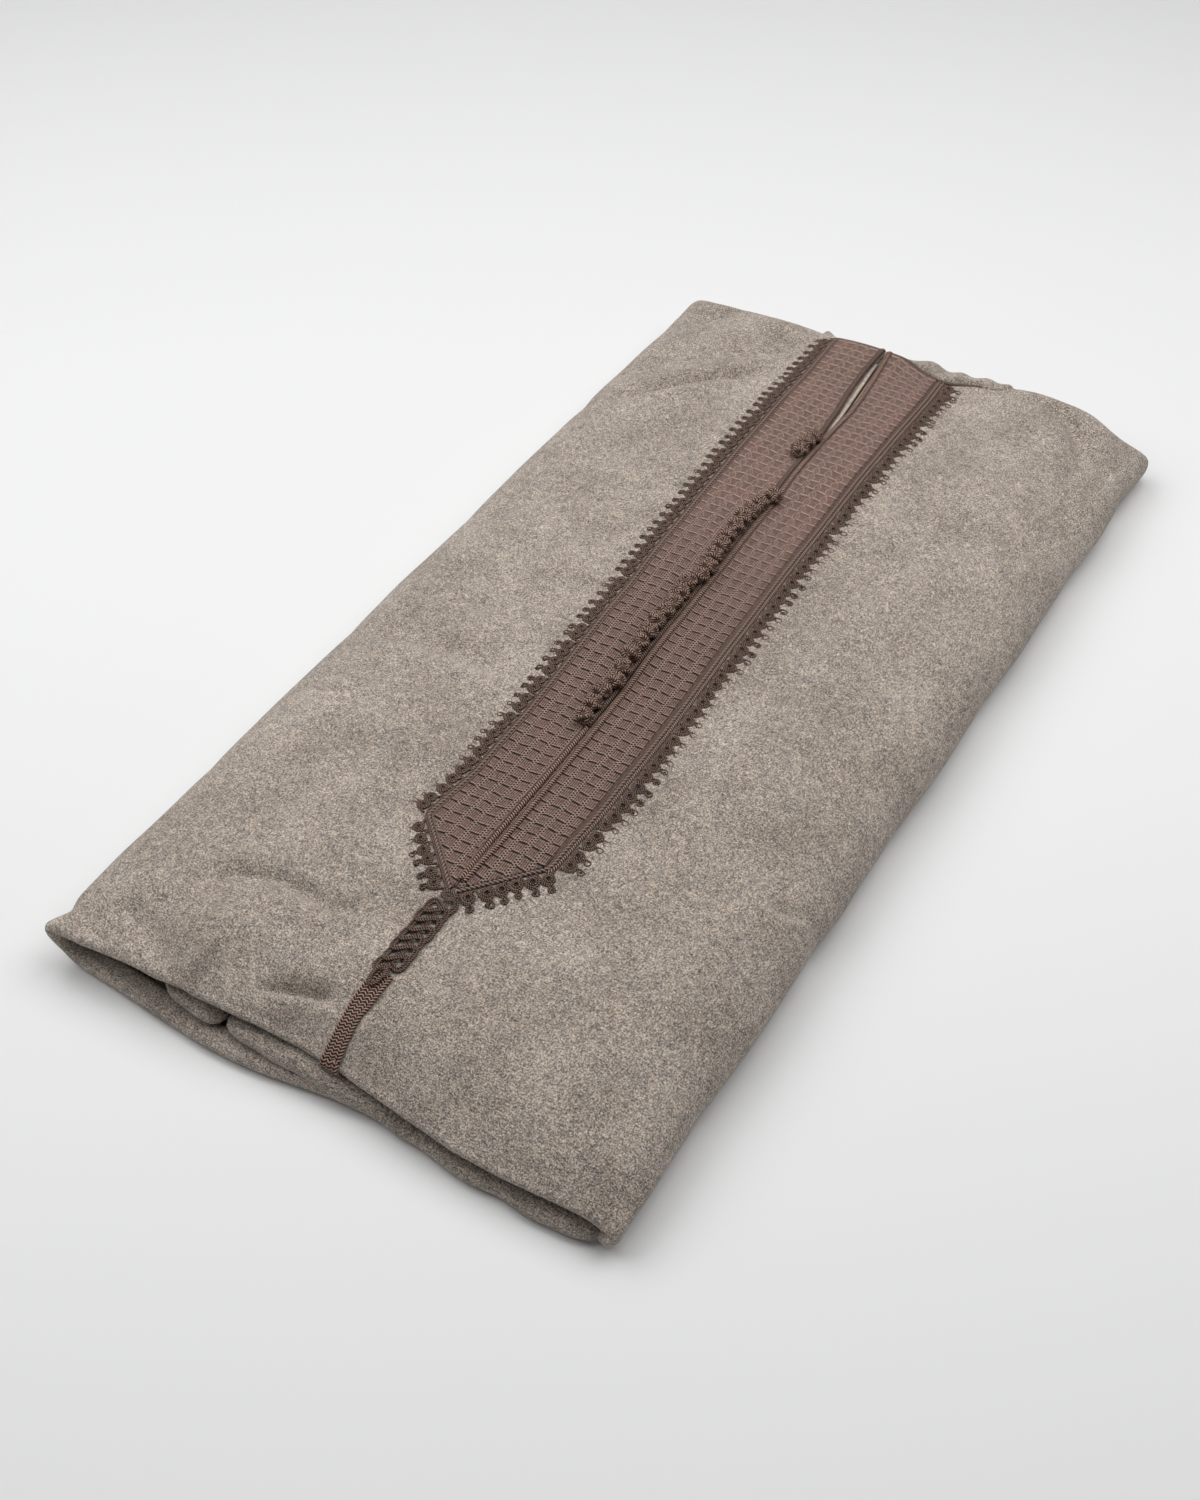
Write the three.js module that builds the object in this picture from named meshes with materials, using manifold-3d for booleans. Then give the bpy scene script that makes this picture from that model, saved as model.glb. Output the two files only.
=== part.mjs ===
// A wool djellaba folded for the shelf, lying face up.
// The skirt is folded up behind the chest, then both long sides go under, so the front
// wraps the whole parcel: over the top, round each long side and back beneath.
// Millimetres. +X runs across the chest, +Y from the fold to the neck, +Z up from the table.
import * as THREE from "three";
import { mergeVertices } from "three/addons/utils/BufferGeometryUtils.js";
import Module from "manifold-3d";

const wasm = await Module();
wasm.setup();

// ---- driving sizes of the folded parcel ----
const halfWidth = 170.8; // to the middle of the cloth at the long sides
const foldY = -344; // the fold across the skirt, at the near end
const shoulderY = 339.5; // the shoulders, at the far end
const shoulderSwell = 6.5; // the right shoulder reaches further than the left one
const crownHeight = 50; // top of the parcel over its middle
const sideHeight = 21; // where the long sides are widest
const cloth = 2.4; // thickness of the fulled wool
const seamGap = 0.3; // between pieces that are sewn or lie together
const foldRadius = 2; // the wool turned in on itself at the fold
const foldReturn = 8; // how far the turned wool shows inside
const shoulderRadius = 16; // the roll over the shoulders
const shoulderLift = 16; // height at which the roll closes
const underEdge = 16; // rounding from the long sides to the underside
const flapEndX = 19.5; // where the two side flaps meet beneath
const nearHeight = 19.5; // top of the near end over its middle and right
const nearLeftRise = 10; // the near end is this much higher at the left

// ---- driving sizes of the trims ----
const bandThickness = 1.6;
const neckY = 327; // neck edge, measured along the cloth
const neckLeftX = -73;
const neckRightX = 72;
const neckCurve = 14; // half of the stretch where the neck edge turns over the shoulder
const cornerY = -193; // where the bands turn in to their point
const pointY = -229;
const slitEndY = 203;
const slitWidth = 5.6;
const hoodTuck = 11; // the back of the neck reaches this far under the neck edge
const facingThickness = 1.2;
const facingReach = 12; // out from the slit, each way
const loopReach = { left: 17, right: 20 }; // out from the band, past its piping
const loopThickness = 1.8;
const coilWidth = 16.5;
const coilEndY = -291;
const braidWidth = 11.5;
const cordRadius = 1.3;
const buttonDiameter = 9.6;
const buttonPitch = 10.3;
const chainButtons = 23;
const topButtons = 3;
const chainTopY = 134.5;
const topGroupY = 203;
const topGroupPitch = 10;
const buttonAside = -4.6; // the knots sit on the left band's inner edge

// Edges of the two woven bands and of the seam between them, down the chest.
const placket = [
  { y: 330, seam: -14.5, left: -52.5, right: 27.5 },
  { y: 245, seam: -9.5, left: -48.0, right: 28.5 },
  { y: 144, seam: -4.0, left: -43.5, right: 30.5 },
  { y: 45, seam: -1.0, left: -38.6, right: 33.4 },
  { y: -54, seam: 2.8, left: -32.5, right: 37.2 },
  { y: -104, seam: 4.8, left: -30.2, right: 39.3 },
  { y: -153, seam: 5.2, left: -29.8, right: 39.3 },
  { y: cornerY, seam: 5.2, left: -34.0, right: 38.0 },
  { y: pointY, seam: 5.1, left: 4.0, right: 6.2 },
  { y: -290, seam: 4.6, left: 4.0, right: 5.2 },
  { y: -346, seam: 2.2, left: 1.6, right: 2.8 },
];

// The large soft folds of the front: a line through x, y at a bearing, as a trough or a ridge.
const folds = [
  { name: "chest drag", x: -118, y: 262, turn: 48, length: 74, width: 13, height: -3.2 },
  { name: "shoulder drag", x: -120, y: 300, turn: 40, length: 46, width: 14, height: 2.0 },
  { name: "left hollow", x: -112, y: -296, turn: 38, length: 34, width: 15, height: -3.4 },
  { name: "left swell", x: -92, y: -322, turn: 70, length: 30, width: 12, height: 2.2 },
  { name: "fold tuck", x: -38, y: -318, turn: -6, length: 32, width: 9, height: -3.6 },
  { name: "skirt swell", x: 36, y: -318, turn: 4, length: 36, width: 20, height: 3.2 },
  { name: "hip drag", x: 128, y: -136, turn: -28, length: 44, width: 12, height: -2.4 },
  { name: "right shoulder", x: 118, y: 300, turn: -32, length: 60, width: 13, height: 1.8 },
];

// ---- driving sizes of what is folded away inside ----
const layerInset = 2 * cloth; // below the middle of the front
const layerUnderside = cloth + 0.5; // just above the flaps
const layerRounding = 12; // from the long sides to the underside
const layerTaper = 6; // how much narrower the closing ends are
const layerAcross = [-1, -0.94, -0.82, -0.66, -0.48, -0.3, -0.12, 0.06, 0.24, 0.42, 0.6, 0.78, 0.92, 1];

// Both ends close up: the distance past the start of the closing, and the share of the height left.
const nearClosing = [
  { past: 0, share: 0.35 },
  { past: 1.5, share: 0.62 },
  { past: 5, share: 0.86 },
  { past: 12, share: 1 },
];
const farClosing = [
  { past: -22, share: 0.9 },
  { past: -8, share: 0.78 },
  { past: 2, share: 0.6 },
  { past: 8, share: 0.3 },
];

// Turned edges that show inside the near end, between the front and the flaps.
const innerLayers = [
  { name: "left layer", left: -153, right: -62, bottom: 8.4, top: 13.6, reach: 9.0 },
  { name: "left upper layer", left: -154, right: -66, bottom: 13.0, top: 18.0, reach: 6.4 },
  { name: "corner layer", left: -148, right: -104, bottom: 16.6, top: 20.4, reach: 4.6 },
  { name: "right layer", left: -59, right: 150, bottom: 8.0, top: 12.4, reach: 10.4 },
];

const wool = { color: 0xa59b8f, roughness: 0.95, metalness: 0 };
const paleWool = { color: 0xbdb5aa, roughness: 0.95, metalness: 0 };
const innerWool = { color: 0x978c80, roughness: 0.97, metalness: 0 };
const brownBraid = { color: 0x6e5a52, roughness: 0.7, metalness: 0 };
const darkCord = { color: 0x5a4840, roughness: 0.65, metalness: 0 };

const degrees = Math.PI / 180;
const clamp01 = (t) => Math.min(Math.max(t, 0), 1);

function ease(from, to, value) {
  const t = clamp01((value - from) / (to - from));
  return t * t * (3 - 2 * t);
}

function bump(value, centre, width) {
  return Math.exp(-(((value - centre) / width) ** 2));
}

// Reads one column of a table whose rows run down in y.
function lookUp(table, column, y) {
  let row = 0;
  while (row < table.length - 2 && y < table[row + 1].y) {
    row += 1;
  }
  const above = table[row];
  const below = table[row + 1];
  const t = clamp01((above.y - y) / (above.y - below.y));
  return above[column] + (below[column] - above[column]) * t;
}

// ---- the form of the parcel ----

function farEdge(x) {
  return shoulderY + shoulderSwell * bump(x, 95, 60);
}

function widestHeight(x) {
  return sideHeight - 3 * (x / halfWidth);
}

function foldHeights(x, y) {
  let total = 0;
  for (const fold of folds) {
    const c = Math.cos(fold.turn * degrees);
    const s = Math.sin(fold.turn * degrees);
    const along = (x - fold.x) * c + (y - fold.y) * s;
    const across = (y - fold.y) * c - (x - fold.x) * s;
    total += fold.height * bump(along, 0, fold.length) * bump(across, 0, fold.width);
  }
  return total;
}

function crownAt(x, y) {
  const atFold = nearHeight + nearLeftRise * ease(40, -110, x);
  const body = crownHeight - 8 * ease(180, neckY, y) - 2 * ease(-150, -260, y);
  return atFold + (body - atFold) * (1 - Math.exp(-Math.max(y - foldY, 0) / 30));
}

// Middle of the cloth over the top, before either end turns down.
function topHeight(x, y) {
  const side = 1 - Math.abs(x / halfWidth) ** 5;
  const shoulder = Math.max(side, 0) ** (1 / 2.2);
  const low = widestHeight(x);
  return low + (crownAt(x, y) + foldHeights(x, y) - cloth / 2 - low) * shoulder;
}

// One side's section, out from the seam (0), to the long side (1), the table (2) and the
// flap's end (3). The table is at z = 0 and the cloth's middle half a thickness above it.
function sectionPoint(side, station, y) {
  const seam = lookUp(placket, "seam", y) + side * (slitGap(y) / 2);
  if (station <= 1) {
    const x = seam + (side * halfWidth - seam) * station;
    return new THREE.Vector3(x, y, topHeight(x, y));
  }
  if (station <= 2) {
    const turn = (station - 1) * 90 * degrees;
    const low = widestHeight(side * halfWidth) - cloth / 2;
    const x = side * (halfWidth - underEdge * (1 - Math.cos(turn)));
    return new THREE.Vector3(x, y, cloth / 2 + low * (1 - Math.sin(turn)));
  }
  const start = side * (halfWidth - underEdge);
  const end = flapEndX + side * (seamGap / 2);
  return new THREE.Vector3(start + (end - start) * (station - 2), y, cloth / 2);
}

function slitGap(y) {
  const t = clamp01((y - slitEndY) / (neckY + 8 - slitEndY));
  return seamGap + slitWidth * Math.sin(Math.PI * t ** 0.9);
}

// Carries a point with its path length y over the shoulder roll.
function rollOver(point) {
  const start = farEdge(point.x) - shoulderRadius;
  if (point.y <= start) {
    return point;
  }
  const turn = Math.min((point.y - start) / shoulderRadius, 86 * degrees);
  const close = Math.cos(turn) ** 0.8;
  const inward = 1 - (5 / halfWidth) * (1 - close);
  const z = shoulderLift + (point.z - shoulderLift) * close;
  return new THREE.Vector3(point.x * inward, start + shoulderRadius * Math.sin(turn), z);
}

// A point of the front's middle at a station and a path length, turned in at the fold and
// rolled over at the shoulder, and moved out from the cloth by the offset.
function frontPoint(side, station, path, offset = 0) {
  const turnStart = foldY + foldRadius;
  const step = 0.02;
  const y = Math.max(path, turnStart);
  const before = rollOver(sectionPoint(side, Math.max(station - step, 0), y));
  const after = rollOver(sectionPoint(side, Math.min(station + step, 3), y));
  const ahead = rollOver(sectionPoint(side, station, y + 1));
  const point = rollOver(sectionPoint(side, station, y));
  const out = after.sub(before).cross(ahead.sub(point)).normalize().multiplyScalar(side);
  if (path >= turnStart) {
    return point.addScaledVector(out, offset);
  }
  out.y = 0;
  out.normalize();
  const turn = Math.min((turnStart - path) / foldRadius, Math.PI);
  const back = Math.max(turnStart - path - Math.PI * foldRadius, 0);
  const radius = foldRadius + offset;
  point.y = turnStart - radius * Math.sin(turn) + back;
  return point.addScaledVector(out, -foldRadius + radius * Math.cos(turn));
}

// The same for a place on the top given by x, for whatever lies on the front.
function onFront(x, path, offset) {
  const seam = lookUp(placket, "seam", path);
  const side = x < seam ? -1 : 1;
  const start = seam + side * (slitGap(path) / 2);
  const station = clamp01((x - start) / (side * halfWidth - start));
  const point = frontPoint(side, station, path, offset);
  if (station === 0) {
    point.x = x;
  }
  return point;
}

// ---- making closed walls and solids ----

function signedVolume(positions, triangles) {
  const a = new THREE.Vector3();
  const b = new THREE.Vector3();
  const c = new THREE.Vector3();
  let total = 0;
  for (let i = 0; i < triangles.length; i += 3) {
    a.fromArray(positions, 3 * triangles[i]);
    b.fromArray(positions, 3 * triangles[i + 1]);
    c.fromArray(positions, 3 * triangles[i + 2]);
    total += a.dot(b.cross(c));
  }
  return total / 6;
}

function closedGeometry(points, triangles) {
  const positions = points.flatMap((point) => point.toArray());
  if (signedVolume(positions, triangles) < 0) {
    triangles.reverse();
  }
  const geometry = new THREE.BufferGeometry();
  geometry.setAttribute("position", new THREE.Float32BufferAttribute(positions, 3));
  geometry.setIndex(triangles);
  return geometry;
}

function addQuad(triangles, a, b, c, d) {
  triangles.push(a, b, c, a, c, d);
}

// Closes two equal grids of points, one outside and one inside, into one wall.
function wallBetween(outer, inner) {
  const rows = outer.length;
  const columns = outer[0].length;
  const points = [...outer.flat(), ...inner.flat()];
  const out = (r, c) => r * columns + c;
  const into = (r, c) => rows * columns + r * columns + c;
  const triangles = [];
  for (let r = 0; r < rows - 1; r += 1) {
    for (let c = 0; c < columns - 1; c += 1) {
      addQuad(triangles, out(r, c), out(r, c + 1), out(r + 1, c + 1), out(r + 1, c));
      addQuad(triangles, into(r, c), into(r + 1, c), into(r + 1, c + 1), into(r, c + 1));
    }
    const last = columns - 1;
    addQuad(triangles, out(r, 0), out(r + 1, 0), into(r + 1, 0), into(r, 0));
    addQuad(triangles, out(r, last), into(r, last), into(r + 1, last), out(r + 1, last));
  }
  for (let c = 0; c < columns - 1; c += 1) {
    const last = rows - 1;
    addQuad(triangles, out(0, c), into(0, c), into(0, c + 1), out(0, c + 1));
    addQuad(triangles, out(last, c), out(last, c + 1), into(last, c + 1), into(last, c));
  }
  return closedGeometry(points, triangles);
}

// A strip of even thickness that lies on the front. Rows run down the path, and each gives
// its path length and its two edges in x.
function stripOnFront(rows, columns, lift, thickness) {
  const build = (offset) =>
    rows.map((row) => {
      const line = [];
      for (let c = 0; c <= columns; c += 1) {
        const x = row.from + ((row.to - row.from) * c) / columns;
        line.push(onFront(x, row.path, offset));
      }
      return line;
    });
  return wallBetween(build(lift + thickness), build(lift));
}

function spread(from, to, count) {
  return Array.from({ length: count + 1 }, (_, i) => from + ((to - from) * i) / count);
}

function toManifold(geometry) {
  const bare = geometry.clone();
  bare.deleteAttribute("normal");
  bare.deleteAttribute("uv");
  const merged = mergeVertices(bare, 1e-4);
  const vertProperties = new Float32Array(merged.getAttribute("position").array);
  const triVerts = new Uint32Array(merged.getIndex().array);
  return new wasm.Manifold(new wasm.Mesh({ numProp: 3, vertProperties, triVerts }));
}

function fromManifold(solid) {
  const mesh = solid.getMesh();
  const geometry = new THREE.BufferGeometry();
  geometry.setAttribute("position", new THREE.BufferAttribute(mesh.vertProperties, 3));
  geometry.setIndex(new THREE.BufferAttribute(mesh.triVerts, 1));
  return geometry;
}

// ---- the pieces ----

const shoulderStations = [0.89, 0.94, 0.975, 1];
const underStations = [1.25, 1.5, 1.75, 2];
const flapStations = [2.35, 2.7, 3];
const nearRows = [-338, -334, -324, -310, -290, -265, -236];
const chestRows = [-193, -153, -104, -54, -5, 45, 95, 144, 190, 218, 245, 268, 288, 304];
const surfaceLift = cloth / 2 + seamGap;

function foldPaths() {
  const turnStart = foldY + foldRadius;
  const arc = Math.PI * foldRadius;
  const returned = [turnStart - arc - foldReturn];
  return [...returned, ...spread(turnStart - arc, turnStart, 5)];
}

// The cloth stops at the neck edge in the middle and runs over the shoulders at each side.
function frontEnd(x) {
  const overShoulder = farEdge(x) - shoulderRadius + shoulderRadius * 84 * degrees;
  const pastLeft = ease(neckLeftX + neckCurve, neckLeftX - neckCurve, x);
  const pastRight = ease(neckRightX - neckCurve, neckRightX + neckCurve, x);
  return neckY + (overShoulder - neckY) * Math.max(pastLeft, pastRight);
}

// Stations across the top, with some where the neck edge turns over the shoulder.
function topStations(side) {
  const neckX = side < 0 ? neckLeftX : neckRightX;
  const seam = lookUp(placket, "seam", neckY);
  const stationAt = (x) => (x - seam) / (side * halfWidth - seam);
  const turns = stationAt(neckX - side * neckCurve);
  const turned = stationAt(neckX + side * neckCurve);
  const chest = [...spread(0, turns, 5), ...spread(turns, turned, 9).slice(1)];
  return [...chest, ...spread(turned, shoulderStations[0], 4).slice(1, -1), ...shoulderStations];
}

function makeFront(side) {
  const stations = [...topStations(side), ...underStations, ...flapStations];
  const rollRows = spread(0, 1, 10).slice(1);
  const grid = (offset) => {
    const rows = [];
    for (const path of [...foldPaths(), ...nearRows, ...chestRows]) {
      rows.push(stations.map((station) => frontPoint(side, station, path, offset)));
    }
    const start = chestRows.at(-1);
    for (const t of rollRows) {
      rows.push(
        stations.map((station) => {
          const x = sectionPoint(side, Math.min(station, 1), neckY).x;
          const end = frontEnd(x);
          return frontPoint(side, station, start + (end - start) * t, offset);
        }),
      );
    }
    return rows;
  };
  return wallBetween(grid(cloth / 2), grid(-cloth / 2));
}

// One ring round what is folded away inside, at y, with a share of its height left.
function layerRing(y, share) {
  const reach = halfWidth - layerInset - layerTaper * (1 - share);
  const middle = shoulderLift;
  const pointAt = (x, z) => new THREE.Vector3(x, y, middle + (z - middle) * share);
  const corner = (side, angle) => {
    const x = side * (reach - layerRounding * (1 - Math.cos(angle * degrees)));
    return pointAt(x, middle - (middle - layerUnderside) * Math.sin(angle * degrees));
  };
  const over = layerAcross.map((f) => {
    const z = topHeight((f * halfWidth * reach) / (reach + 1), y) - layerInset;
    return pointAt(f * reach, Math.max(z, middle + 1));
  });
  const beneath = [halfWidth / 2, 0, -halfWidth / 2].map((x) => pointAt(x, layerUnderside));
  const right = [30, 60, 90].map((angle) => corner(1, angle));
  const left = [90, 60, 30].map((angle) => corner(-1, angle));
  return [...over, ...right, ...beneath, ...left];
}

// Skirt, back, sleeves and hood, folded away inside as one soft solid.
function makeFoldedLayers() {
  const nearY = foldY + 2 * foldRadius + foldReturn + 3;
  const farY = shoulderY - shoulderRadius - 3;
  const rings = [
    ...nearClosing.map((end) => layerRing(nearY + end.past, end.share)),
    ...spread(foldY + 44, shoulderY - 79.5, 9).map((y) => layerRing(y, 1)),
    ...farClosing.map((end) => layerRing(farY + end.past, end.share)),
  ];
  const count = rings[0].length;
  const points = rings.flat();
  const triangles = [];
  for (let r = 0; r < rings.length - 1; r += 1) {
    for (let i = 0; i < count; i += 1) {
      const j = (i + 1) % count;
      addQuad(triangles, r * count + i, r * count + j, (r + 1) * count + j, (r + 1) * count + i);
    }
  }
  for (const [row, first] of [[0, true], [rings.length - 1, false]]) {
    const centre = new THREE.Vector3();
    rings[row].forEach((point) => centre.addScaledVector(point, 1 / count));
    points.push(centre);
    for (let i = 0; i < count; i += 1) {
      const a = row * count + i;
      const b = row * count + ((i + 1) % count);
      triangles.push(points.length - 1, first ? b : a, first ? a : b);
    }
  }
  let solid = toManifold(closedGeometry(points, triangles));
  for (const layer of innerLayers) {
    solid = solid.add(toManifold(layerEdge(layer, nearY + 10)));
  }
  return fromManifold(solid);
}

// A turned edge: a flat slab with a round nose towards the near end.
function layerEdge(layer, backY) {
  const half = (layer.top - layer.bottom) / 2;
  const noseY = foldY + foldReturn + 2 * foldRadius - layer.reach + half;
  const outline = new THREE.Shape();
  outline.moveTo(backY, layer.bottom);
  outline.lineTo(backY, layer.top);
  outline.lineTo(noseY, layer.top);
  outline.absarc(noseY, layer.bottom + half, half, Math.PI / 2, 1.5 * Math.PI, false);
  const slab = new THREE.ExtrudeGeometry(outline, {
    depth: layer.right - layer.left,
    bevelEnabled: false,
    curveSegments: 5,
  });
  slab.rotateX(Math.PI / 2);
  slab.rotateZ(Math.PI / 2);
  slab.translate(layer.left, 0, 0);
  return slab;
}

// The back of the neck, which shows behind the neck edge and rolls under.
function makeHoodBase() {
  const lower = -(cloth + 3 * seamGap);
  const overShoulder = farEdge(0) - shoulderRadius + shoulderRadius * 80 * degrees;
  const rows = spread(neckY - hoodTuck, overShoulder, 12);
  const columns = spread(neckLeftX - neckCurve - 3, neckRightX + neckCurve + 3, 20);
  const grid = (offset) => rows.map((path) => columns.map((x) => onFront(x, path, offset)));
  return wallBetween(grid(lower + cloth / 2), grid(lower - cloth / 2));
}

// The pale facing that shows through the neck slit.
function makeSlitFacing() {
  const lower = -(cloth / 2 + seamGap + facingThickness);
  const rows = spread(slitEndY - 12, neckY - hoodTuck - 2, 8).map((path) => {
    const seam = lookUp(placket, "seam", path);
    return { path, from: seam - facingReach, to: seam + facingReach };
  });
  return stripOnFront(rows, 6, lower, facingThickness);
}

// The bands and the loops bend where the front does, down to the corner.
function chestPaths(from) {
  return [from, ...chestRows.filter((path) => path < from).reverse()];
}

function bandPaths() {
  const taper = spread(cornerY, pointY + 1.5, 3).slice(1);
  return [neckY - 0.5, 320, 312, ...chestPaths(chestRows.at(-1)), ...taper];
}

function makeBand(column, side) {
  const rows = bandPaths().map((path) => {
    const inner = lookUp(placket, "seam", path) + side * (slitGap(path) / 2 + 0.1);
    return { path, from: inner, to: lookUp(placket, column, path) };
  });
  return stripOnFront(rows, 3, surfaceLift, bandThickness);
}

// The loops stand out from the band's edge, down the side and along the point.
function makeLoopTrim(column, side) {
  const corner = { x: lookUp(placket, column, cornerY), y: cornerY };
  const point = { x: lookUp(placket, column, pointY), y: pointY };
  const slope = Math.atan2(corner.y - point.y, side * (corner.x - point.x));
  const paths = [neckY - 4, 320, 312, ...chestPaths(chestRows.at(-1)).slice(0, -1)];
  const stations = paths.map((path) => ({ x: lookUp(placket, column, path), path, turn: 0 }));
  for (const t of [0, 0.26, 0.52, 0.78]) {
    stations.push({
      x: corner.x + (point.x - corner.x) * t,
      path: corner.y + (point.y - corner.y) * t,
      turn: (90 * degrees - slope) * (t === 0 ? 0.5 : 1),
    });
  }
  const grid = (offset) =>
    stations.map((place) =>
      spread(seamGap, seamGap + loopReach[column], 3).map((reach) => {
        const x = place.x + side * reach * Math.cos(place.turn);
        return onFront(x, place.path - reach * Math.sin(place.turn), offset);
      }),
    );
  return wallBetween(grid(surfaceLift + loopThickness), grid(surfaceLift));
}

function makeTailStrip(paths, width) {
  const rows = paths.map((path) => {
    const seam = lookUp(placket, "seam", path);
    return { path, from: seam - width / 2, to: seam + width / 2 };
  });
  return stripOnFront(rows, 4, surfaceLift, bandThickness);
}

// Both strips bend where the front does, so that they keep their distance from it.
function coilPaths() {
  const between = nearRows.filter((path) => path > coilEndY && path < pointY - 3);
  return [coilEndY, ...between, pointY - 3];
}

function braidPaths() {
  const turned = foldPaths().slice(3);
  const between = nearRows.filter((path) => path < coilEndY - 0.6);
  return [...turned, ...between, coilEndY - 0.6];
}

// The cord along the neck edge, one length on each side of the slit.
function makeNeckCord(side) {
  const seam = lookUp(placket, "seam", neckY);
  const from = seam + side * (slitGap(neckY) / 2 + cordRadius);
  const to = (side < 0 ? neckLeftX : neckRightX) - side * (neckCurve - 3);
  const aside = cordRadius + seamGap + 0.4;
  const points = spread(from, to, 12).map((x) => onFront(x, frontEnd(x) + aside, 0.6));
  const section = new THREE.Shape();
  section.absarc(0, 0, cordRadius, 0, 2 * Math.PI, false);
  return new THREE.ExtrudeGeometry(section, {
    steps: 18,
    curveSegments: 4,
    bevelEnabled: false,
    extrudePath: new THREE.CatmullRomCurve3(points),
  });
}

function makeButton(path) {
  const radius = buttonDiameter / 2;
  const x = lookUp(placket, "seam", path) + buttonAside;
  const rise = surfaceLift + bandThickness + seamGap + 0.86 * radius;
  const centre = onFront(x, path, rise);
  const ball = mergeVertices(bareSphere(radius));
  ball.scale(1, 1, 0.86);
  ball.translate(centre.x, centre.y, centre.z);
  return ball;
}

function bareSphere(radius) {
  const ball = new THREE.IcosahedronGeometry(radius, 1);
  ball.deleteAttribute("normal");
  ball.deleteAttribute("uv");
  return ball;
}

function buttonPaths() {
  const upper = spread(0, topButtons - 1, topButtons - 1).map((i) => topGroupY - i * topGroupPitch);
  const chain = spread(0, chainButtons - 1, chainButtons - 1).map((i) => chainTopY - i * buttonPitch);
  return [...upper, ...chain];
}

// ---- the garment ----

const djellaba = new THREE.Group();

function addPiece(name, geometry, look) {
  const mesh = new THREE.Mesh(geometry, new THREE.MeshStandardMaterial(look));
  mesh.name = name;
  djellaba.add(mesh);
}

addPiece("front_left", makeFront(-1), wool);
addPiece("front_right", makeFront(1), wool);
addPiece("folded_layers", makeFoldedLayers(), innerWool);
addPiece("hood_base", makeHoodBase(), wool);
addPiece("slit_facing", makeSlitFacing(), paleWool);
addPiece("band_left", makeBand("left", -1), brownBraid);
addPiece("band_right", makeBand("right", 1), brownBraid);
addPiece("loop_trim_left", makeLoopTrim("left", -1), darkCord);
addPiece("loop_trim_right", makeLoopTrim("right", 1), darkCord);
addPiece("tail_coil", makeTailStrip(coilPaths(), coilWidth), darkCord);
addPiece("tail_braid", makeTailStrip(braidPaths(), braidWidth), brownBraid);
addPiece("neck_cord_left", makeNeckCord(-1), darkCord);
addPiece("neck_cord_right", makeNeckCord(1), darkCord);
buttonPaths().forEach((path, i) => {
  addPiece(`button_${String(i + 1).padStart(2, "0")}`, makeButton(path), darkCord);
});

export default djellaba;
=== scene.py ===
import bpy
import math
import numpy as np
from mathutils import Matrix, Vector


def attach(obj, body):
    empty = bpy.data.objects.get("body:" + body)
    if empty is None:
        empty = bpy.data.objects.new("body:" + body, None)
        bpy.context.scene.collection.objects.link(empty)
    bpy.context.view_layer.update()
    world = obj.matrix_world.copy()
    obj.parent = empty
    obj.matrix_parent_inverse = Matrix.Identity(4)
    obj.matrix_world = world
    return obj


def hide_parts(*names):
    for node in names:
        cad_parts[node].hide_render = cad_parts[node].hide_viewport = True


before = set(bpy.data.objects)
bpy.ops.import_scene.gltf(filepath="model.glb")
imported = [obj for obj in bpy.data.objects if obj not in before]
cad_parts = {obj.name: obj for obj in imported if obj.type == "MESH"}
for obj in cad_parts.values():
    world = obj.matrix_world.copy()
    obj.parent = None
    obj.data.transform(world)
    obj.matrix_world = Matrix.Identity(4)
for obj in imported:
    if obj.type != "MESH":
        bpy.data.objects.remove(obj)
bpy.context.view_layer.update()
print("frame:", len(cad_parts), "nodes")

# Everything below is worked out in millimetres and made into metres as each mesh is made.
mm = 0.001

parcel = {
    "halfWidth": 170.8,     # to the middle of the cloth at the long sides
    "foldY": -344.0,        # the skirt's fold, at the near end
    "shoulderY": 339.5,
    "shoulderSwell": 6.5,   # the right shoulder reaches further
    "sideHeight": 21.0,
    "sideTilt": 3.0,        # the left long side is this much higher at its widest
    "cloth": 2.4,
    "seamGap": 0.3,
    "foldRadius": 2.0,
    "foldReturn": 8.0,
    "shoulderRadius": 16.0,
    "shoulderLift": 16.0,
    "underEdge": 16.0,
    "flapEndX": 19.5,
    "neckY": 327.0,
    "neckLeftX": -73.0,
    "neckRightX": 72.0,
    "neckCurve": 14.0,
    "slitEndY": 203.0,
    "slitWidth": 6.6,
    "neckDip": 10.0,        # how far the right band's end lies below the left one's
}
neckY = parcel["neckY"]
halfCloth = parcel["cloth"] / 2
turnStart = parcel["foldY"] + parcel["foldRadius"]      # where the cloth starts to turn in
sides = {"left": -1, "right": 1}

# Seam and outer edges of the two bands, from the neck down to the fold.
placket = {
    "y": [330, 300, 245, 144, 45, -54, -104, -153, -193, -229, -290, -346],
    "seam": [-17.4, -15.2, -8.8, -4.0, -1.0, 2.8, 4.8, 5.2, 5.2, 5.1, 4.6, 2.2],
    "left": [-52.5, -51.0, -48.0, -43.5, -38.6, -32.5, -30.2, -29.8, -34.0, 4.0, 4.0, 1.6],
    "right": [25.5, 26.8, 28.5, 30.5, 33.4, 37.2, 39.3, 39.3, 38.0, 6.2, 5.2, 2.8],
}
cornerY = -193.0
pointY = -229.0

# The large soft folds: centre, bearing, length, width, height.
bigFolds = [
    (-118, 262, 48, 74, 13, -3.2),
    (-120, 300, 40, 46, 14, 2.0),
    (-112, -296, 38, 34, 15, -3.4),
    (-92, -322, 70, 30, 12, 2.2),
    (-38, -318, -6, 32, 9, -3.6),
    (36, -318, 4, 36, 20, 3.2),
    (128, -136, -28, 44, 12, -2.4),
    (118, 300, -32, 60, 13, 1.8),
]

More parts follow.
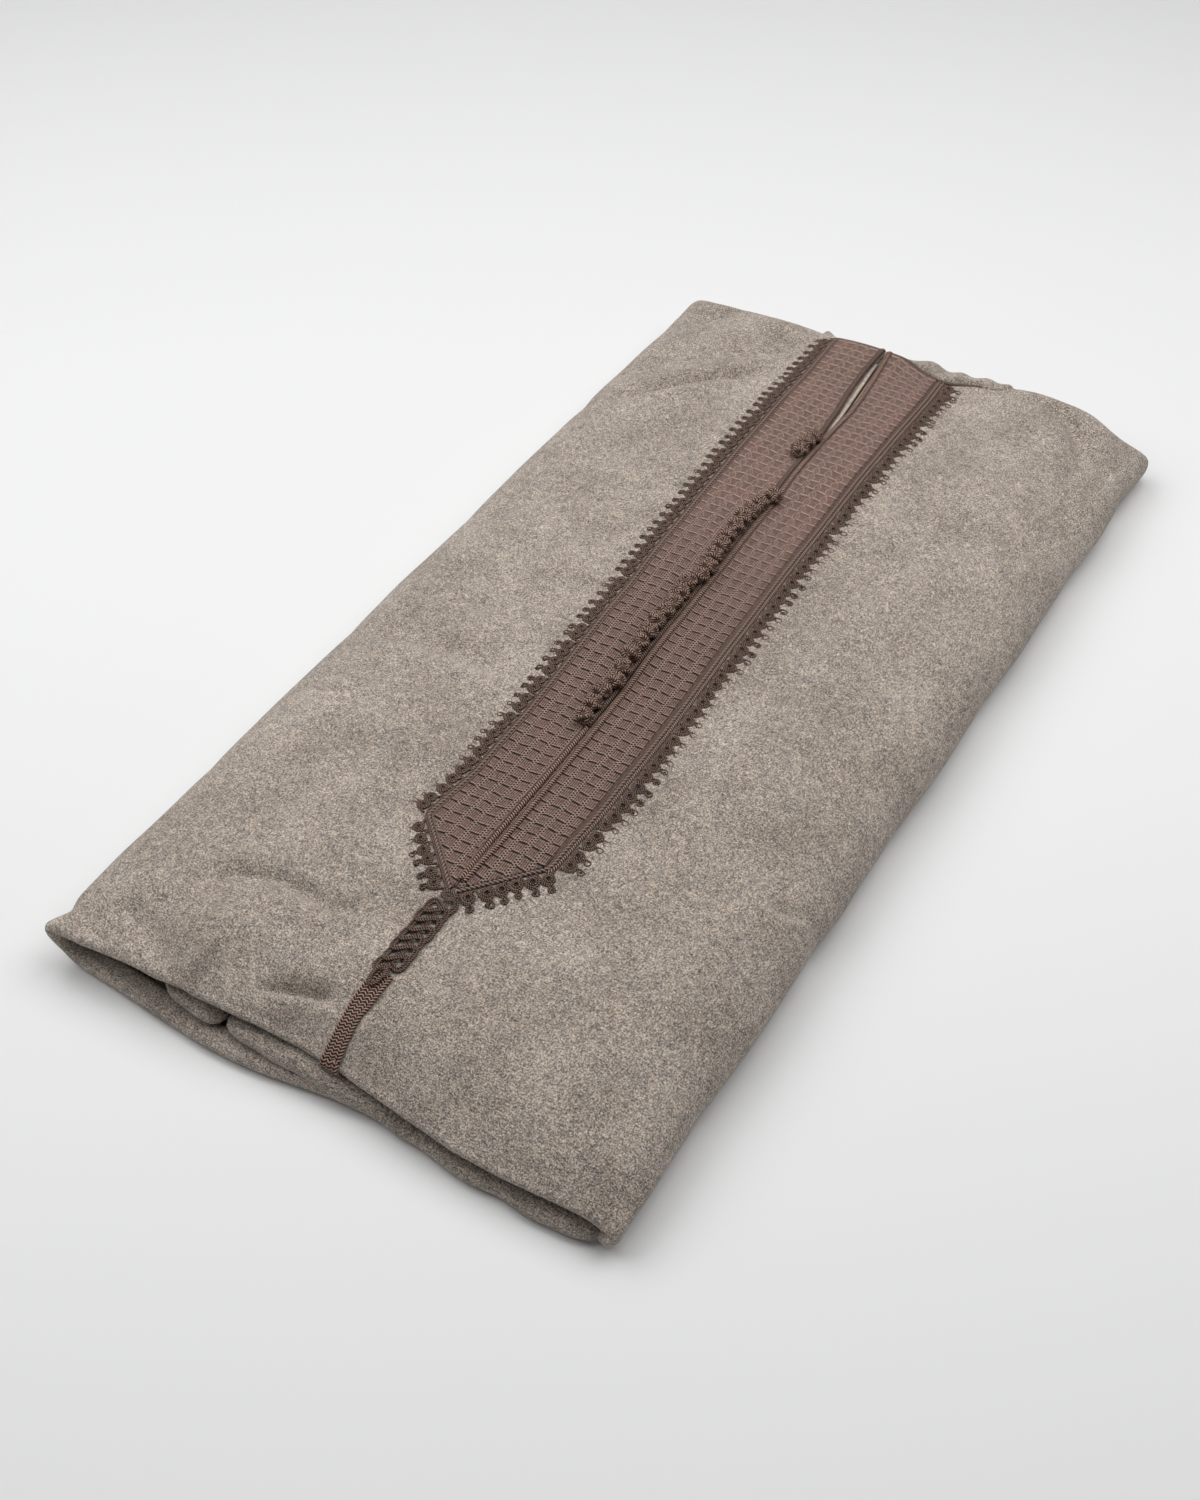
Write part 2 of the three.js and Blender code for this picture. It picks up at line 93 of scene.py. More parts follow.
# Creases, one by one: the points that each runs through, its height (down is minus), its
# half width, and its lean, which makes one of its slopes the steeper.
creases = [
    ([(-156, 178), (-132, 204), (-101, 240), (-66, 282)], -3.7, 7.5, 0.5),
    ([(-140, 178), (-112, 208), (-84, 244)], 1.9, 11, 0.0),
    ([(-130, 334), (-139, 316), (-148, 296)], -1.7, 5.0, 0.3),
    ([(-108, 330), (-96, 306), (-90, 290)], 0.7, 8.0, 0.0),
    ([(-152, -16), (-104, -20), (-58, -24)], -0.7, 7.0, 0.4),
    ([(-158, -44), (-104, -40), (-54, -36)], -0.7, 6.0, 0.4),
    ([(-154, -86), (-120, -82), (-86, -80), (-50, -86)], -1.2, 7.0, 0.6),
    ([(-150, -97), (-110, -93), (-52, -96)], 0.9, 6.0, 0.0),
    ([(-140, -142), (-96, -138), (-52, -142)], -0.7, 7.0, 0.4),
    ([(-118, -290), (-100, -276), (-78, -269), (-44, -270), (-18, -262)], -1.9, 5.5, 0.5),
    ([(-120, -280), (-92, -262), (-50, -258)], 0.8, 7.0, 0.0),
    ([(-148, -316), (-128, -322), (-108, -332), (-96, -343)], -2.6, 8.0, 0.0),
    ([(-82, -312), (-84, -328), (-86, -346)], 1.5, 4.6, -0.6),
    ([(-54, -331), (-32, -322), (-8, -316)], -2.3, 4.4, 0.7),
    ([(-50, -340), (-28, -331), (-6, -325)], 1.5, 5.0, 0.0),
    ([(52, 344), (74, 345), (100, 341), (128, 333), (150, 316), (164, 296)], 2.2, 9.0, 0.0),
    ([(44, 332), (77, 332), (108, 327), (136, 310), (150, 286)], -1.5, 5.5, 0.3),
    ([(133, 302), (140, 292), (150, 280)], -1.2, 4.5, 0.3),
    ([(158, 310), (165, 303), (172, 296)], -1.4, 3.6, 0.3),
    ([(168, 322), (156, 300), (160, 276), (150, 258)], -1.8, 6.0, 0.4),
    ([(116, 326), (132, 304), (141, 276), (137, 250)], -1.3, 5.5, 0.4),
    ([(146, 252), (158, 224), (163, 196)], -1.1, 5.5, 0.3),
    ([(172, 300), (166, 284), (168, 262)], 1.0, 5.0, 0.0),
    ([(146, -150), (158, -145), (172, -137)], -1.9, 4.0, 0.5),
    ([(134, -316), (142, -302), (150, -284)], -0.9, 8.0, 0.0),
    ([(60, -300), (64, -288), (60, -274)], -0.6, 8.0, 0.0),
    ([(84, -122), (116, -112), (150, -118)], -0.5, 9.0, 0.3),
    ([(120, -24), (134, -18), (152, -22)], -0.7, 8.0, 0.0),
    ([(70, 108), (98, 84), (120, 74)], -0.6, 10.0, 0.3),
    ([(60, 212), (92, 206), (128, 222)], 0.6, 10.0, 0.0),
    ([(9, -346), (12, -330), (10, -312)], 1.3, 6.0, 0.3),
]
creaseStrength = 2.2

# Dents and swells of the long sides: place along y, half length, how far it reaches out.
sideDents = {
    -1: [(-331, 5, -2.4), (-318, 10, 0.6), (-290, 26, 1.6), (-215, 9, -1.2), (-150, 34, 1.1),
         (-84, 10, -1.3),
         (-30, 22, 1.3), (40, 11, -1.1), (104, 26, 1.0), (178, 9, -2.0), (206, 18, 1.5),
         (286, 14, -1.1)],
    1: [(-318, 18, 1.3), (-262, 10, -1.3), (-206, 28, 1.5), (-142, 8, -1.8), (-112, 16, 1.3),
        (-48, 11, -1.2), (12, 28, 1.6), (74, 10, -1.4), (128, 22, 1.4), (206, 12, -1.3),
        (252, 18, 1.6), (292, 9, -2.0)],
}

# How far the near end stands back from the fold's line, along x: the front, and the flaps.
nearEnd = {
    "topX": [-172, -152, -118, -87, -50, -20, 0, 27, 50, 80, 110, 130, 150, 172],
    "topBack": [1.0, 0.0, 3.0, 4.0, 6.5, 9.5, 9.0, 6.0, 3.2, 0.4, 0.2, 1.2, 2.4, 4.0],
    "flapX": [-172, -144, -120, -97, -65, -41, -22, -5, 14, 24, 172],
    "flapBack": [1.8, 1.0, -1.0, -3.0, -5.0, -4.2, -1.2, 1.8, 3.8, 5.2, 5.2],
    "flapSwell": 1.4,       # the left flap's edge is rolled more fully
}


def ease(start, end, value):
    t = np.clip((value - start) / (end - start), 0, 1)
    return t * t * (3 - 2 * t)


def bump(value, centre, width):
    return np.exp(-(((value - centre) / width) ** 2))


def lookUp(column, y):
    return np.interp(y, placket["y"][::-1], placket[column][::-1])


# Faint waves all over the cloth: bearing, rate, phase and height of each.
rippleKinds = {"seed": 7, "count": 20, "length": (46, 150), "height": (0.14, 0.34)}
rippleRandom = np.random.default_rng(rippleKinds["seed"])
ripples = [
    (
        rippleRandom.uniform(0, math.tau),
        math.tau / rippleRandom.uniform(*rippleKinds["length"]),
        rippleRandom.uniform(0, math.tau),
        rippleRandom.uniform(*rippleKinds["height"]),
    )
    for _ in range(rippleKinds["count"])
]


def rippleHeights(x, y):
    total = np.zeros(np.broadcast(x, y).shape)
    for bearing, rate, phase, height in ripples:
        total = total + height * np.sin(rate * (x * math.cos(bearing) + y * math.sin(bearing)) + phase)
    return total


def creaseHeights(x, y):
    total = np.zeros(np.broadcast(x, y).shape)
    for line, height, width, lean in creases:
        through = np.array(line, dtype=float)
        steps = np.diff(through, axis=0)
        lengths = np.hypot(steps[:, 0], steps[:, 1])
        whole = lengths.sum()
        nearest = np.full(total.shape, 1e9)
        signed = np.zeros(total.shape)
        place = np.zeros(total.shape)
        for k, (step, length) in enumerate(zip(steps, lengths)):
            dx = x - through[k, 0]
            dy = y - through[k, 1]
            t = np.clip((dx * step[0] + dy * step[1]) / length**2, 0, 1)
            away = np.hypot(dx - t * step[0], dy - t * step[1])
            side = np.sign(step[0] * dy - step[1] * dx)
            closer = away < nearest
            nearest = np.where(closer, away, nearest)
            signed = np.where(closer, side * away, signed)
            place = np.where(closer, (lengths[:k].sum() + t * length) / whole, place)
        q = signed / width
        fade = ease(-0.05, 0.3, place) * ease(1.05, 0.7, place)
        total = total + creaseStrength * height * fade * np.exp(-(q**2)) * (1 + lean * q)
    return total


stitching = {"aside": 6, "width": 9, "depth": 0.7}      # the cloth is drawn down beside the bands


def foldHeights(x, y):
    total = rippleHeights(x, y) + creaseHeights(x, y)
    for cx, cy, bearing, length, width, height in bigFolds:
        c = math.cos(math.radians(bearing))
        s = math.sin(math.radians(bearing))
        along = (x - cx) * c + (y - cy) * s
        across = (y - cy) * c - (x - cx) * s
        total = total + height * bump(along, 0, length) * bump(across, 0, width)
    stitched = bump(x, lookUp("left", y) - stitching["aside"], stitching["width"])
    stitched = stitched + bump(x, lookUp("right", y) + stitching["aside"], stitching["width"])
    return total - stitching["depth"] * stitched * ease(-236, -200, y)


def farEdge(x):
    return parcel["shoulderY"] + parcel["shoulderSwell"] * bump(x, 95, 60)


def widestHeight(x):
    return parcel["sideHeight"] - parcel["sideTilt"] * (x / parcel["halfWidth"])


# Heights of the front's top, and how full its section is.
crown = {
    "height": 50.0,
    "atFold": 19.5,
    "atFoldLeft": 10.0,     # more, on the left
    "fallToNeck": 8.0,
    "fallToFold": 2.0,
    "foldReach": 30.0,      # how soon it rises behind the fold
    "flatness": 5,
    "fullness": 2.2,
}


def crownAt(x, y):
    atFold = crown["atFold"] + crown["atFoldLeft"] * ease(40, -110, x)
    body = crown["height"] - crown["fallToNeck"] * ease(180, neckY, y)
    body = body - crown["fallToFold"] * ease(-150, -260, y)
    fromFold = np.maximum(y - parcel["foldY"], 0)
    return atFold + (body - atFold) * (1 - np.exp(-fromFold / crown["foldReach"]))


def topHeight(x, y):
    rounding = 1 - np.abs(x / parcel["halfWidth"]) ** crown["flatness"]
    shoulder = np.maximum(rounding, 0) ** (1 / crown["fullness"])
    low = widestHeight(x)
    return low + (crownAt(x, y) + foldHeights(x, y) - halfCloth - low) * shoulder


def slitGap(y):
    t = np.clip((y - parcel["slitEndY"]) / (neckY + 8 - parcel["slitEndY"]), 0, 1)
    return parcel["seamGap"] + parcel["slitWidth"] * np.sin(math.pi * t**1.1)


def sideReach(side, y):
    left = sum(h * bump(y, c, w) for c, w, h in sideDents[-1])
    right = sum(h * bump(y, c, w) for c, w, h in sideDents[1])
    return np.where(side < 0, left, right)


# One side's section: out from the seam (0) to the long side (1), the table (2), the flap's end (3).
def sectionPoint(side, station, y):
    half = parcel["halfWidth"]
    seam = lookUp("seam", y) + side * slitGap(y) / 2
    topX = seam + (side * half - seam) * np.minimum(station, 1)
    turn = np.clip(station - 1, 0, 1) * math.pi / 2
    low = widestHeight(side * half) - halfCloth
    sideX = side * (half - parcel["underEdge"] * (1 - np.cos(turn)))
    flapStart = side * (half - parcel["underEdge"])
    flapEnd = parcel["flapEndX"] + side * parcel["seamGap"] / 2
    flapX = flapStart + (flapEnd - flapStart) * np.clip(station - 2, 0, 1)
    x = np.where(station <= 1, topX, np.where(station <= 2, sideX, flapX))
    underZ = halfCloth + low * (1 - np.sin(turn))
    z = np.where(station <= 1, topHeight(topX, y), underZ)
    bulge = bump(z, parcel["sideHeight"], 13) * ease(0.62, 0.97, station) * ease(2, 1.4, station)
    x = x + side * sideReach(side, y) * bulge
    return np.stack([x, y + 0 * x, z], axis=-1)


def rollOver(points):
    x, y, z = points[..., 0], points[..., 1], points[..., 2]
    radius = parcel["shoulderRadius"]
    lift = parcel["shoulderLift"]
    start = farEdge(x) - radius
    turn = np.clip((y - start) / radius, 0, math.radians(86))
    close = np.cos(turn) ** 0.8
    past = y > start
    rolledX = x * (1 - (5 / parcel["halfWidth"]) * (1 - close))
    rolledY = start + radius * np.sin(turn)
    rolledZ = lift + (z - lift) * close
    return np.stack(
        [np.where(past, rolledX, x), np.where(past, rolledY, y), np.where(past, rolledZ, z)],
        axis=-1,
    )


# The parcel's corners are drawn out: place, pull and reach of each.
drawnCorners = [
    ((169, 340, 12), (1.5, 5.0, -3.5), 15),
    ((158, 328, 34), (0.0, 0.0, -4.5), 13),
    ((-169, 338, 20), (-1.0, 3.0, 2.0), 14),
    ((170, -342, 8), (1.0, -4.5, -1.5), 12),
    ((-172, -342, 17), (-2.5, -2.0, 1.0), 9),
    ((-170, -343, 23), (-1.5, -2.5, 3.5), 6),
    ((-158, -344, 18), (0.0, 1.5, -3.0), 6),
]


def pullCorners(points):
    for place, pull, reach in drawnCorners:
        away = np.linalg.norm(points - np.array(place, float), axis=-1)
        points = points + np.array(pull, float) * bump(away, 0, reach)[..., None]
    return points


def unit(vectors):
    return vectors / np.linalg.norm(vectors, axis=-1, keepdims=True)


# A point of the front's middle, turned in at the fold and rolled over the shoulder, and moved
# out from the cloth by the offset.
def frontPoint(side, station, path, offset=0.0):
    side, station, path, offset = np.broadcast_arrays(
        *(np.asarray(part, float) for part in (side, station, path, offset))
    )
    arcRadius = parcel["foldRadius"]
    under = ease(1.2, 2.0, station)
    radius = arcRadius + nearEnd["flapSwell"] * under * (side < 0)
    step = 0.006
    y = np.maximum(path, turnStart)
    before = rollOver(sectionPoint(side, np.maximum(station - step, 0), y))
    after = rollOver(sectionPoint(side, np.minimum(station + step, 3), y))
    ahead = rollOver(sectionPoint(side, station, y + 1))
    point = rollOver(sectionPoint(side, station, y))
    out = np.cross(after - before, ahead - point) * side[..., None]
    turned = path < turnStart
    out[..., 1] = np.where(turned, 0, out[..., 1])
    out = unit(out)
    turn = np.clip((turnStart - path) / arcRadius, 0, math.pi)
    back = np.maximum(turnStart - path - math.pi * arcRadius, 0)
    curve = radius + offset
    lift = np.where(turned, curve * np.cos(turn) - radius, offset)
    moved = point + out * lift[..., None]
    moved[..., 1] = np.where(turned, turnStart - curve * np.sin(turn) + back, moved[..., 1])
    topBack = np.interp(moved[..., 0], nearEnd["topX"], nearEnd["topBack"])
    flapBack = np.interp(moved[..., 0], nearEnd["flapX"], nearEnd["flapBack"])
    standBack = topBack + (flapBack - topBack) * under
    moved[..., 1] += standBack * ease(-285, -343, path)
    return pullCorners(moved)


# The neck edge lies lower beside the right band.
def dipped(x, path):
    dip = parcel["neckDip"] * ease(-10, 22, x) * ease(58, 27, x)
    return path - dip * ease(285, neckY, path) * ease(350, 332, path)


def onFront(x, path, offset=0.0):
    x, path = np.broadcast_arrays(np.asarray(x, float), np.asarray(path, float))
    path = dipped(x, path)
    seam = lookUp("seam", path)
    side = np.where(x < seam, -1.0, 1.0)
    start = seam + side * slitGap(path) / 2
    station = np.clip((x - start) / (side * parcel["halfWidth"] - start), 0, 1)
    points = frontPoint(side, station, path, offset)
    points[..., 0] = np.where(station == 0, x, points[..., 0])
    return points


def outwardAt(x, path):
    return unit(onFront(x, path, 1.0) - onFront(x, path, 0.0))


def makeObject(name, mesh):
    piece = bpy.data.objects.new(name, mesh)
    bpy.context.scene.collection.objects.link(piece)
    return piece


def meshFrom(name, points, faces, material=None, edges=()):
    mesh = bpy.data.meshes.new(name)
    mesh.from_pydata((np.asarray(points) * mm).tolist(), edges, faces)
    mesh.validate()
    if material:
        mesh.materials.append(material)
    if len(faces):
        mesh.shade_smooth()
    return mesh


def gridFaces(rows, columns, start=0, wrap=False):
    r = np.arange(rows - 1)[:, None]
    c = np.arange(columns if wrap else columns - 1)[None, :]
    d = (c + 1) % columns
    quads = np.stack(
        [r * columns + c, r * columns + d, (r + 1) * columns + d, (r + 1) * columns + c], axis=-1
    )
    return quads.reshape(-1, 4) + start


def isInsideOut(points, faces):
    p = np.asarray(points)
    f = np.asarray(faces)
    cut = np.einsum("ij,ij->i", p[f[:, 0]], np.cross(p[f[:, 1]], p[f[:, 2]]))
    cut = cut + np.einsum("ij,ij->i", p[f[:, 0]], np.cross(p[f[:, 2]], p[f[:, 3]]))
    return cut.sum() < 0


# Closes an outer and an inner grid into one wall.
def wallBetween(outer, inner):
    rows, columns = outer.shape[:2]
    points = np.concatenate([outer.reshape(-1, 3), inner.reshape(-1, 3)])
    base = rows * columns
    top = gridFaces(rows, columns)
    under = gridFaces(rows, columns, base)[:, ::-1]
    index = np.arange(base).reshape(rows, columns)
    rim = np.concatenate([index[0, :], index[1:, -1], index[-1, -2::-1], index[-2:0:-1, 0]])
    ahead = np.roll(rim, -1)
    edge = np.stack([ahead, rim, rim + base, ahead + base], axis=-1)
    faces = np.concatenate([top, under, edge])
    if isInsideOut(points, faces):
        faces = faces[:, ::-1]
    return points, faces


def makeWall(name, outer, inner, material):
    points, faces = wallBetween(outer, inner)
    return makeObject(name, meshFrom(name, points, faces.tolist(), material))


def addNode(tree, kind, inputs=None, **settings):
    node = tree.nodes.new(kind)
    for key, value in settings.items():
        setattr(node, key, value)
    for key, value in (inputs or {}).items():
        if isinstance(value, bpy.types.NodeSocket):
            tree.links.new(value, node.inputs[key])
        else:
            node.inputs[key].default_value = value
    return node


def mathOf(tree, operation, a, b=0.0, c=0.0):
    node = addNode(tree, "ShaderNodeMath", {0: a, 1: b, 2: c}, operation=operation)
    return node.outputs[0]


def plus(tree, a, b):
    return mathOf(tree, "ADD", a, b)


def minus(tree, a, b):
    return mathOf(tree, "SUBTRACT", a, b)


# a times b, plus c
def timesPlus(tree, a, b, c):
    return mathOf(tree, "MULTIPLY_ADD", a, b, c)


def mixColours(tree, amount, a, b, blend="MIX"):
    node = addNode(
        tree, "ShaderNodeMix", {0: amount, 6: a, 7: b}, data_type="RGBA", blend_type=blend
    )
    return node.outputs[2]


def rampOf(tree, value, stops):
    node = addNode(tree, "ShaderNodeValToRGB", {0: value})
    ramp = node.color_ramp
    while len(ramp.elements) < len(stops):
        ramp.elements.new(0.5)
    for element, (place, colour) in zip(ramp.elements, stops):
        element.position = place
        element.color = (*colour, 1)
    return node.outputs[0]


def stepOf(tree, value, low, high):
    node = addNode(
        tree, "ShaderNodeMapRange", {0: value, 1: low, 2: high}, interpolation_type="SMOOTHSTEP"
    )
    return node.outputs[0]


def noiseOf(tree, coordinates, scale, detail=2.0, roughness=0.5, stretch=None, turn=None):
    if stretch:
        coordinates = addNode(
            tree, "ShaderNodeMapping", {0: coordinates, "Scale": stretch, "Rotation": turn or (0, 0, 0)}
        ).outputs[0]
    inputs = {0: coordinates, "Scale": scale, "Detail": detail, "Roughness": roughness}
    return addNode(tree, "ShaderNodeTexNoise", inputs).outputs[0]


def waveOf(tree, value, pitch, shift=0.0):
    return mathOf(tree, "COSINE", timesPlus(tree, value, math.tau / pitch, shift))


# 1 within the half width of the centre, 0 outside it.
def nearTo(tree, value, centre, half, soft=0.15):
    away = mathOf(tree, "ABSOLUTE", minus(tree, value, centre))
    return stepOf(tree, away, half + soft, half - soft)


def product(tree, first, *others):
    for other in others:
        first = mathOf(tree, "MULTIPLY", first, other)
    return first


def bumpOf(tree, height, strength, distance, below=None):
    inputs = {"Height": height, "Strength": strength, "Distance": distance}
    if below:
        inputs["Normal"] = below
    return addNode(tree, "ShaderNodeBump", inputs).outputs[0]


def objectPlace(tree):
    return addNode(tree, "ShaderNodeTexCoord").outputs["Object"]


def newMaterial(name):
    material = bpy.data.materials.new(name)
    material.use_nodes = True
    return material, material.node_tree, material.node_tree.nodes["Principled BSDF"]


cloths = {"sheenRoughness": 0.55, "specular": 0.25, "threadSheen": (0.9, 0.8, 0.75)}


def finishShader(tree, shader, colour, roughness, normal, sheen, sheenTint):
    tree.links.new(colour, shader.inputs["Base Color"])
    tree.links.new(roughness, shader.inputs["Roughness"])
    tree.links.new(normal, shader.inputs["Normal"])
    shader.inputs["Sheen Weight"].default_value = sheen
    shader.inputs["Sheen Roughness"].default_value = cloths["sheenRoughness"]
    shader.inputs["Sheen Tint"].default_value = (*sheenTint, 1)
    shader.inputs["Specular IOR Level"].default_value = cloths["specular"]


woolLook = {
    "dark": (0.085, 0.064, 0.050),
    "middle": (0.345, 0.290, 0.245),
    "light": (0.780, 0.700, 0.620),
    "fineScale": 1200.0,
    "fibreScale": 900.0,
    "mottleScale": 210.0,
    "patchScale": 24.0,
    "clumpScale": 330.0,
    "fineShare": 2.0,
    "fibreShare": 0.65,
    "mottleShare": 0.34,
    "patchShare": 0.27,
    "sheen": 0.16,
}


def makeWool(name, look, lighten=1.0, contrast=1.0):
    material, tree, shader = newMaterial(name)
    place = objectPlace(tree)
    fine = noiseOf(tree, place, look["fineScale"], 4.0, 0.75)
    fibreA = noiseOf(tree, place, look["fibreScale"], 2.0, 0.6, (0.5, 2.2, 2.2), (0, 0, 0.5))
    fibreB = noiseOf(tree, place, look["fibreScale"], 2.0, 0.6, (2.2, 0.5, 2.2), (0.2, 0, 0.3))
    mottle = noiseOf(tree, place, look["mottleScale"], 3.0, 0.6)
    patch = noiseOf(tree, place, look["patchScale"], 3.0, 0.5)
    mixed = 0.5
    shares = [
        (fine, look["fineShare"] * contrast), (fibreA, look["fibreShare"] * contrast),
        (fibreB, look["fibreShare"] * contrast), (mottle, look["mottleShare"]), (patch, look["patchShare"]),
    ]
    for noise, share in shares:
        mixed = timesPlus(tree, minus(tree, noise, 0.5), share, mixed)
    stops = [
        (0.2, [c * lighten for c in look["dark"]]),
        (0.5, [c * lighten for c in look["middle"]]),
        (0.82, [c * lighten for c in look["light"]]),
    ]
    colour = rampOf(tree, mixed, stops)
    warm = mixColours(tree, stepOf(tree, mottle, 0.35, 0.65), (0.98, 1.0, 1.02, 1), (1.03, 0.995, 0.965, 1))
    colour = mixColours(tree, 1.0, colour, warm, "MULTIPLY")
    roughness = timesPlus(tree, fine, 0.1, 0.86)
    clumps = noiseOf(tree, place, look["clumpScale"], 3.0, 0.6)
    normal = bumpOf(tree, clumps, 0.3, 0.0008)
    normal = bumpOf(tree, plus(tree, fibreA, fibreB), 0.6, 0.0005, normal)
    normal = bumpOf(tree, fine, 0.8, 0.0005, normal)
    finishShader(tree, shader, colour, roughness, normal, look["sheen"], (0.95, 0.93, 0.9))
    return material


weaveLook = {
    # dark is painted shade: the near black of the holes, slits and grooves.
    "dark": (0.006, 0.003, 0.0025),
    "ground": (0.110, 0.062, 0.050),
    "pink": (0.140, 0.072, 0.060),
    "lit": (0.600, 0.430, 0.355),
    "columnPitch": 8.0,     # from one column of dashes to the next
    "firstColumn": 2.9,     # in from the outer edge
    "dashHalfLength": 2.5,
    "dashHalfWidth": 0.52,
    "dashPitch": 7.6,
    "dashLean": 0.1,
    # The bar is a raised thread beside each dash, painted lighter as a highlight on its lit side.
    "barAt": 1.25,          # a lit thread beside each dash
    "barHalfWidth": 0.48,
    "hatchPitch": 2.3,
    "netAside": 2.7,        # pale lines that widen and close around each cell
    "netHalfWidth": 0.22,
    "opensOut": (170.0, -10.0),     # along the band: close above, open below
    "sway": 1.3,
    "fray": 1.3,
    "holeHalfWidth": 0.52,
    "holePitch": 1.9,
    "holeAside": 0.72,      # out from the middle of the lattice, each way
    "threadPitch": 1.25,
    "sheen": 0.02,
}


# The weave runs on a UV map in metres: u in from the outer edge, v along the band.
def makeWeave(name, look):
    material, tree, shader = newMaterial(name)
    uv = addNode(tree, "ShaderNodeUVMap", uv_map="weaveUv").outputs[0]
    split = addNode(tree, "ShaderNodeSeparateXYZ", {0: uv})
    u = product(tree, split.outputs[0], 1000)
    v = product(tree, split.outputs[1], 1000)
    place = objectPlace(tree)
    wander = noiseOf(tree, place, 60.0, 2.0)
    fray = noiseOf(tree, place, 900.0, 3.0, 0.7)
    sway = noiseOf(tree, place, 150.0, 2.0)
    v = timesPlus(tree, minus(tree, sway, 0.5), look["sway"], v)
    pitch = look["columnPitch"]
    column = mathOf(tree, "DIVIDE", minus(tree, u, look["firstColumn"] - pitch / 2), pitch)
    number = mathOf(tree, "FLOOR", column)
    across = product(tree, minus(tree, mathOf(tree, "FRACT", column), 0.5), pitch)
    aside = mathOf(tree, "ABSOLUTE", across)
    lean = mathOf(tree, "COSINE", product(tree, number, math.pi))
    lean = product(tree, lean, across, look["dashLean"])
    rows = mathOf(tree, "DIVIDE", plus(tree, v, lean), look["dashPitch"])
    along = product(tree, minus(tree, mathOf(tree, "FRACT", rows), 0.5), look["dashPitch"])
    inCell = stepOf(tree, aside, look["dashHalfLength"] + 0.25, look["dashHalfLength"] - 0.15)
    dash = product(tree, inCell, nearTo(tree, along, 0, look["dashHalfWidth"]))
    threads = timesPlus(tree, waveOf(tree, across, look["threadPitch"]), 0.5, 0.5)
    barHighlight = product(tree, inCell, nearTo(tree, along, look["barAt"], look["barHalfWidth"], 0.25))
    hatchRows = timesPlus(tree, waveOf(tree, along, look["hatchPitch"], 1.2), 0.5, 0.5)
    hatch = product(tree, inCell, minus(tree, 1.0, threads), stepOf(tree, hatchRows, 0.25, 0.6))
    lattice = minus(tree, pitch / 2, aside)
    other = product(tree, stepOf(tree, across, -0.01, 0.01), math.pi)
    turned = timesPlus(tree, v, math.tau / look["holePitch"], other)
    holes = product(
        tree, nearTo(tree, lattice, look["holeAside"], look["holeHalfWidth"]),
        stepOf(tree, mathOf(tree, "COSINE", turned), -0.25, 0.35),
    )
    openwork = minus(tree, 1.0, inCell)
    edgeLines = mathOf(tree, "MAXIMUM", nearTo(tree, u, 0.35, 0.12), nearTo(tree, u, 1.0, 0.12))
    selvage = stepOf(tree, u, 1.3, 1.1)
    lower = stepOf(tree, v, *look["opensOut"])
    netLine = timesPlus(tree, waveOf(tree, along, look["dashPitch"]), -0.8, aside)
    net = nearTo(tree, netLine, look["netAside"], look["netHalfWidth"])
    net = product(tree, minus(tree, 1.0, lower), net)
    ground = mixColours(tree, stepOf(tree, wander, 0.42, 0.62), (*look["ground"], 1), (*look["pink"], 1))
    # The pale threads, lattice and net lines are the braid's own colour; the bar beside each dash adds a
    # painted highlight.
    paleThreadsAndHighlight = timesPlus(tree, openwork, timesPlus(tree, lower, 0.2, 0.06), 0.02)
    paleThreadsAndHighlight = timesPlus(tree, minus(tree, fray, 0.5), look["fray"], paleThreadsAndHighlight)
    paleThreadsAndHighlight = timesPlus(tree, threads, 0.3, paleThreadsAndHighlight)
    paleThreadsAndHighlight = timesPlus(tree, barHighlight, timesPlus(tree, lower, -0.4, 0.68), paleThreadsAndHighlight)
    paleThreadsAndHighlight = timesPlus(tree, net, 0.55, paleThreadsAndHighlight)
    colour = mixColours(tree, paleThreadsAndHighlight, ground, (*look["lit"], 1))
    # Painted shade: the holes, the gaps between hatch threads, the dash slits and the edge grooves are
    # darkened towards near black, as well as sunk by the bump.
    depth = product(tree, holes, timesPlus(tree, lower, 0.65, 0.3))
    depth = mathOf(tree, "MAXIMUM", depth, product(tree, hatch, timesPlus(tree, lower, 0.2, 0.22)))
    depth = mathOf(tree, "MAXIMUM", depth, product(tree, dash, timesPlus(tree, lower, 0.85, 0.15)))
    depth = product(tree, depth, minus(tree, 1.0, selvage))
    depth = mathOf(tree, "MAXIMUM", depth, product(tree, edgeLines, 0.8))
    colour = mixColours(tree, depth, colour, (*look["dark"], 1))
    relief = timesPlus(tree, depth, -1.0, product(tree, paleThreadsAndHighlight, 0.7))
    normal = bumpOf(tree, relief, 1.0, 0.0007)
    roughness = timesPlus(tree, paleThreadsAndHighlight, -0.12, 0.68)
    finishShader(tree, shader, colour, roughness, normal, look["sheen"], cloths["threadSheen"])
    return material


# In cordLook and smoothLook, dark is painted shade in the grooves between the plies, and lit is a painted
# highlight on the ply crowns.
cordLook = {
    "dark": (0.004, 0.002, 0.0015),
    "middle": (0.064, 0.035, 0.026),
    "lit": (0.380, 0.255, 0.200),
    "sheen": 0.04,
}

smoothLook = {
    "dark": (0.060, 0.038, 0.030),
    "middle": (0.190, 0.128, 0.106),
    "lit": (0.350, 0.255, 0.215),
    "sheen": 0.04,
}


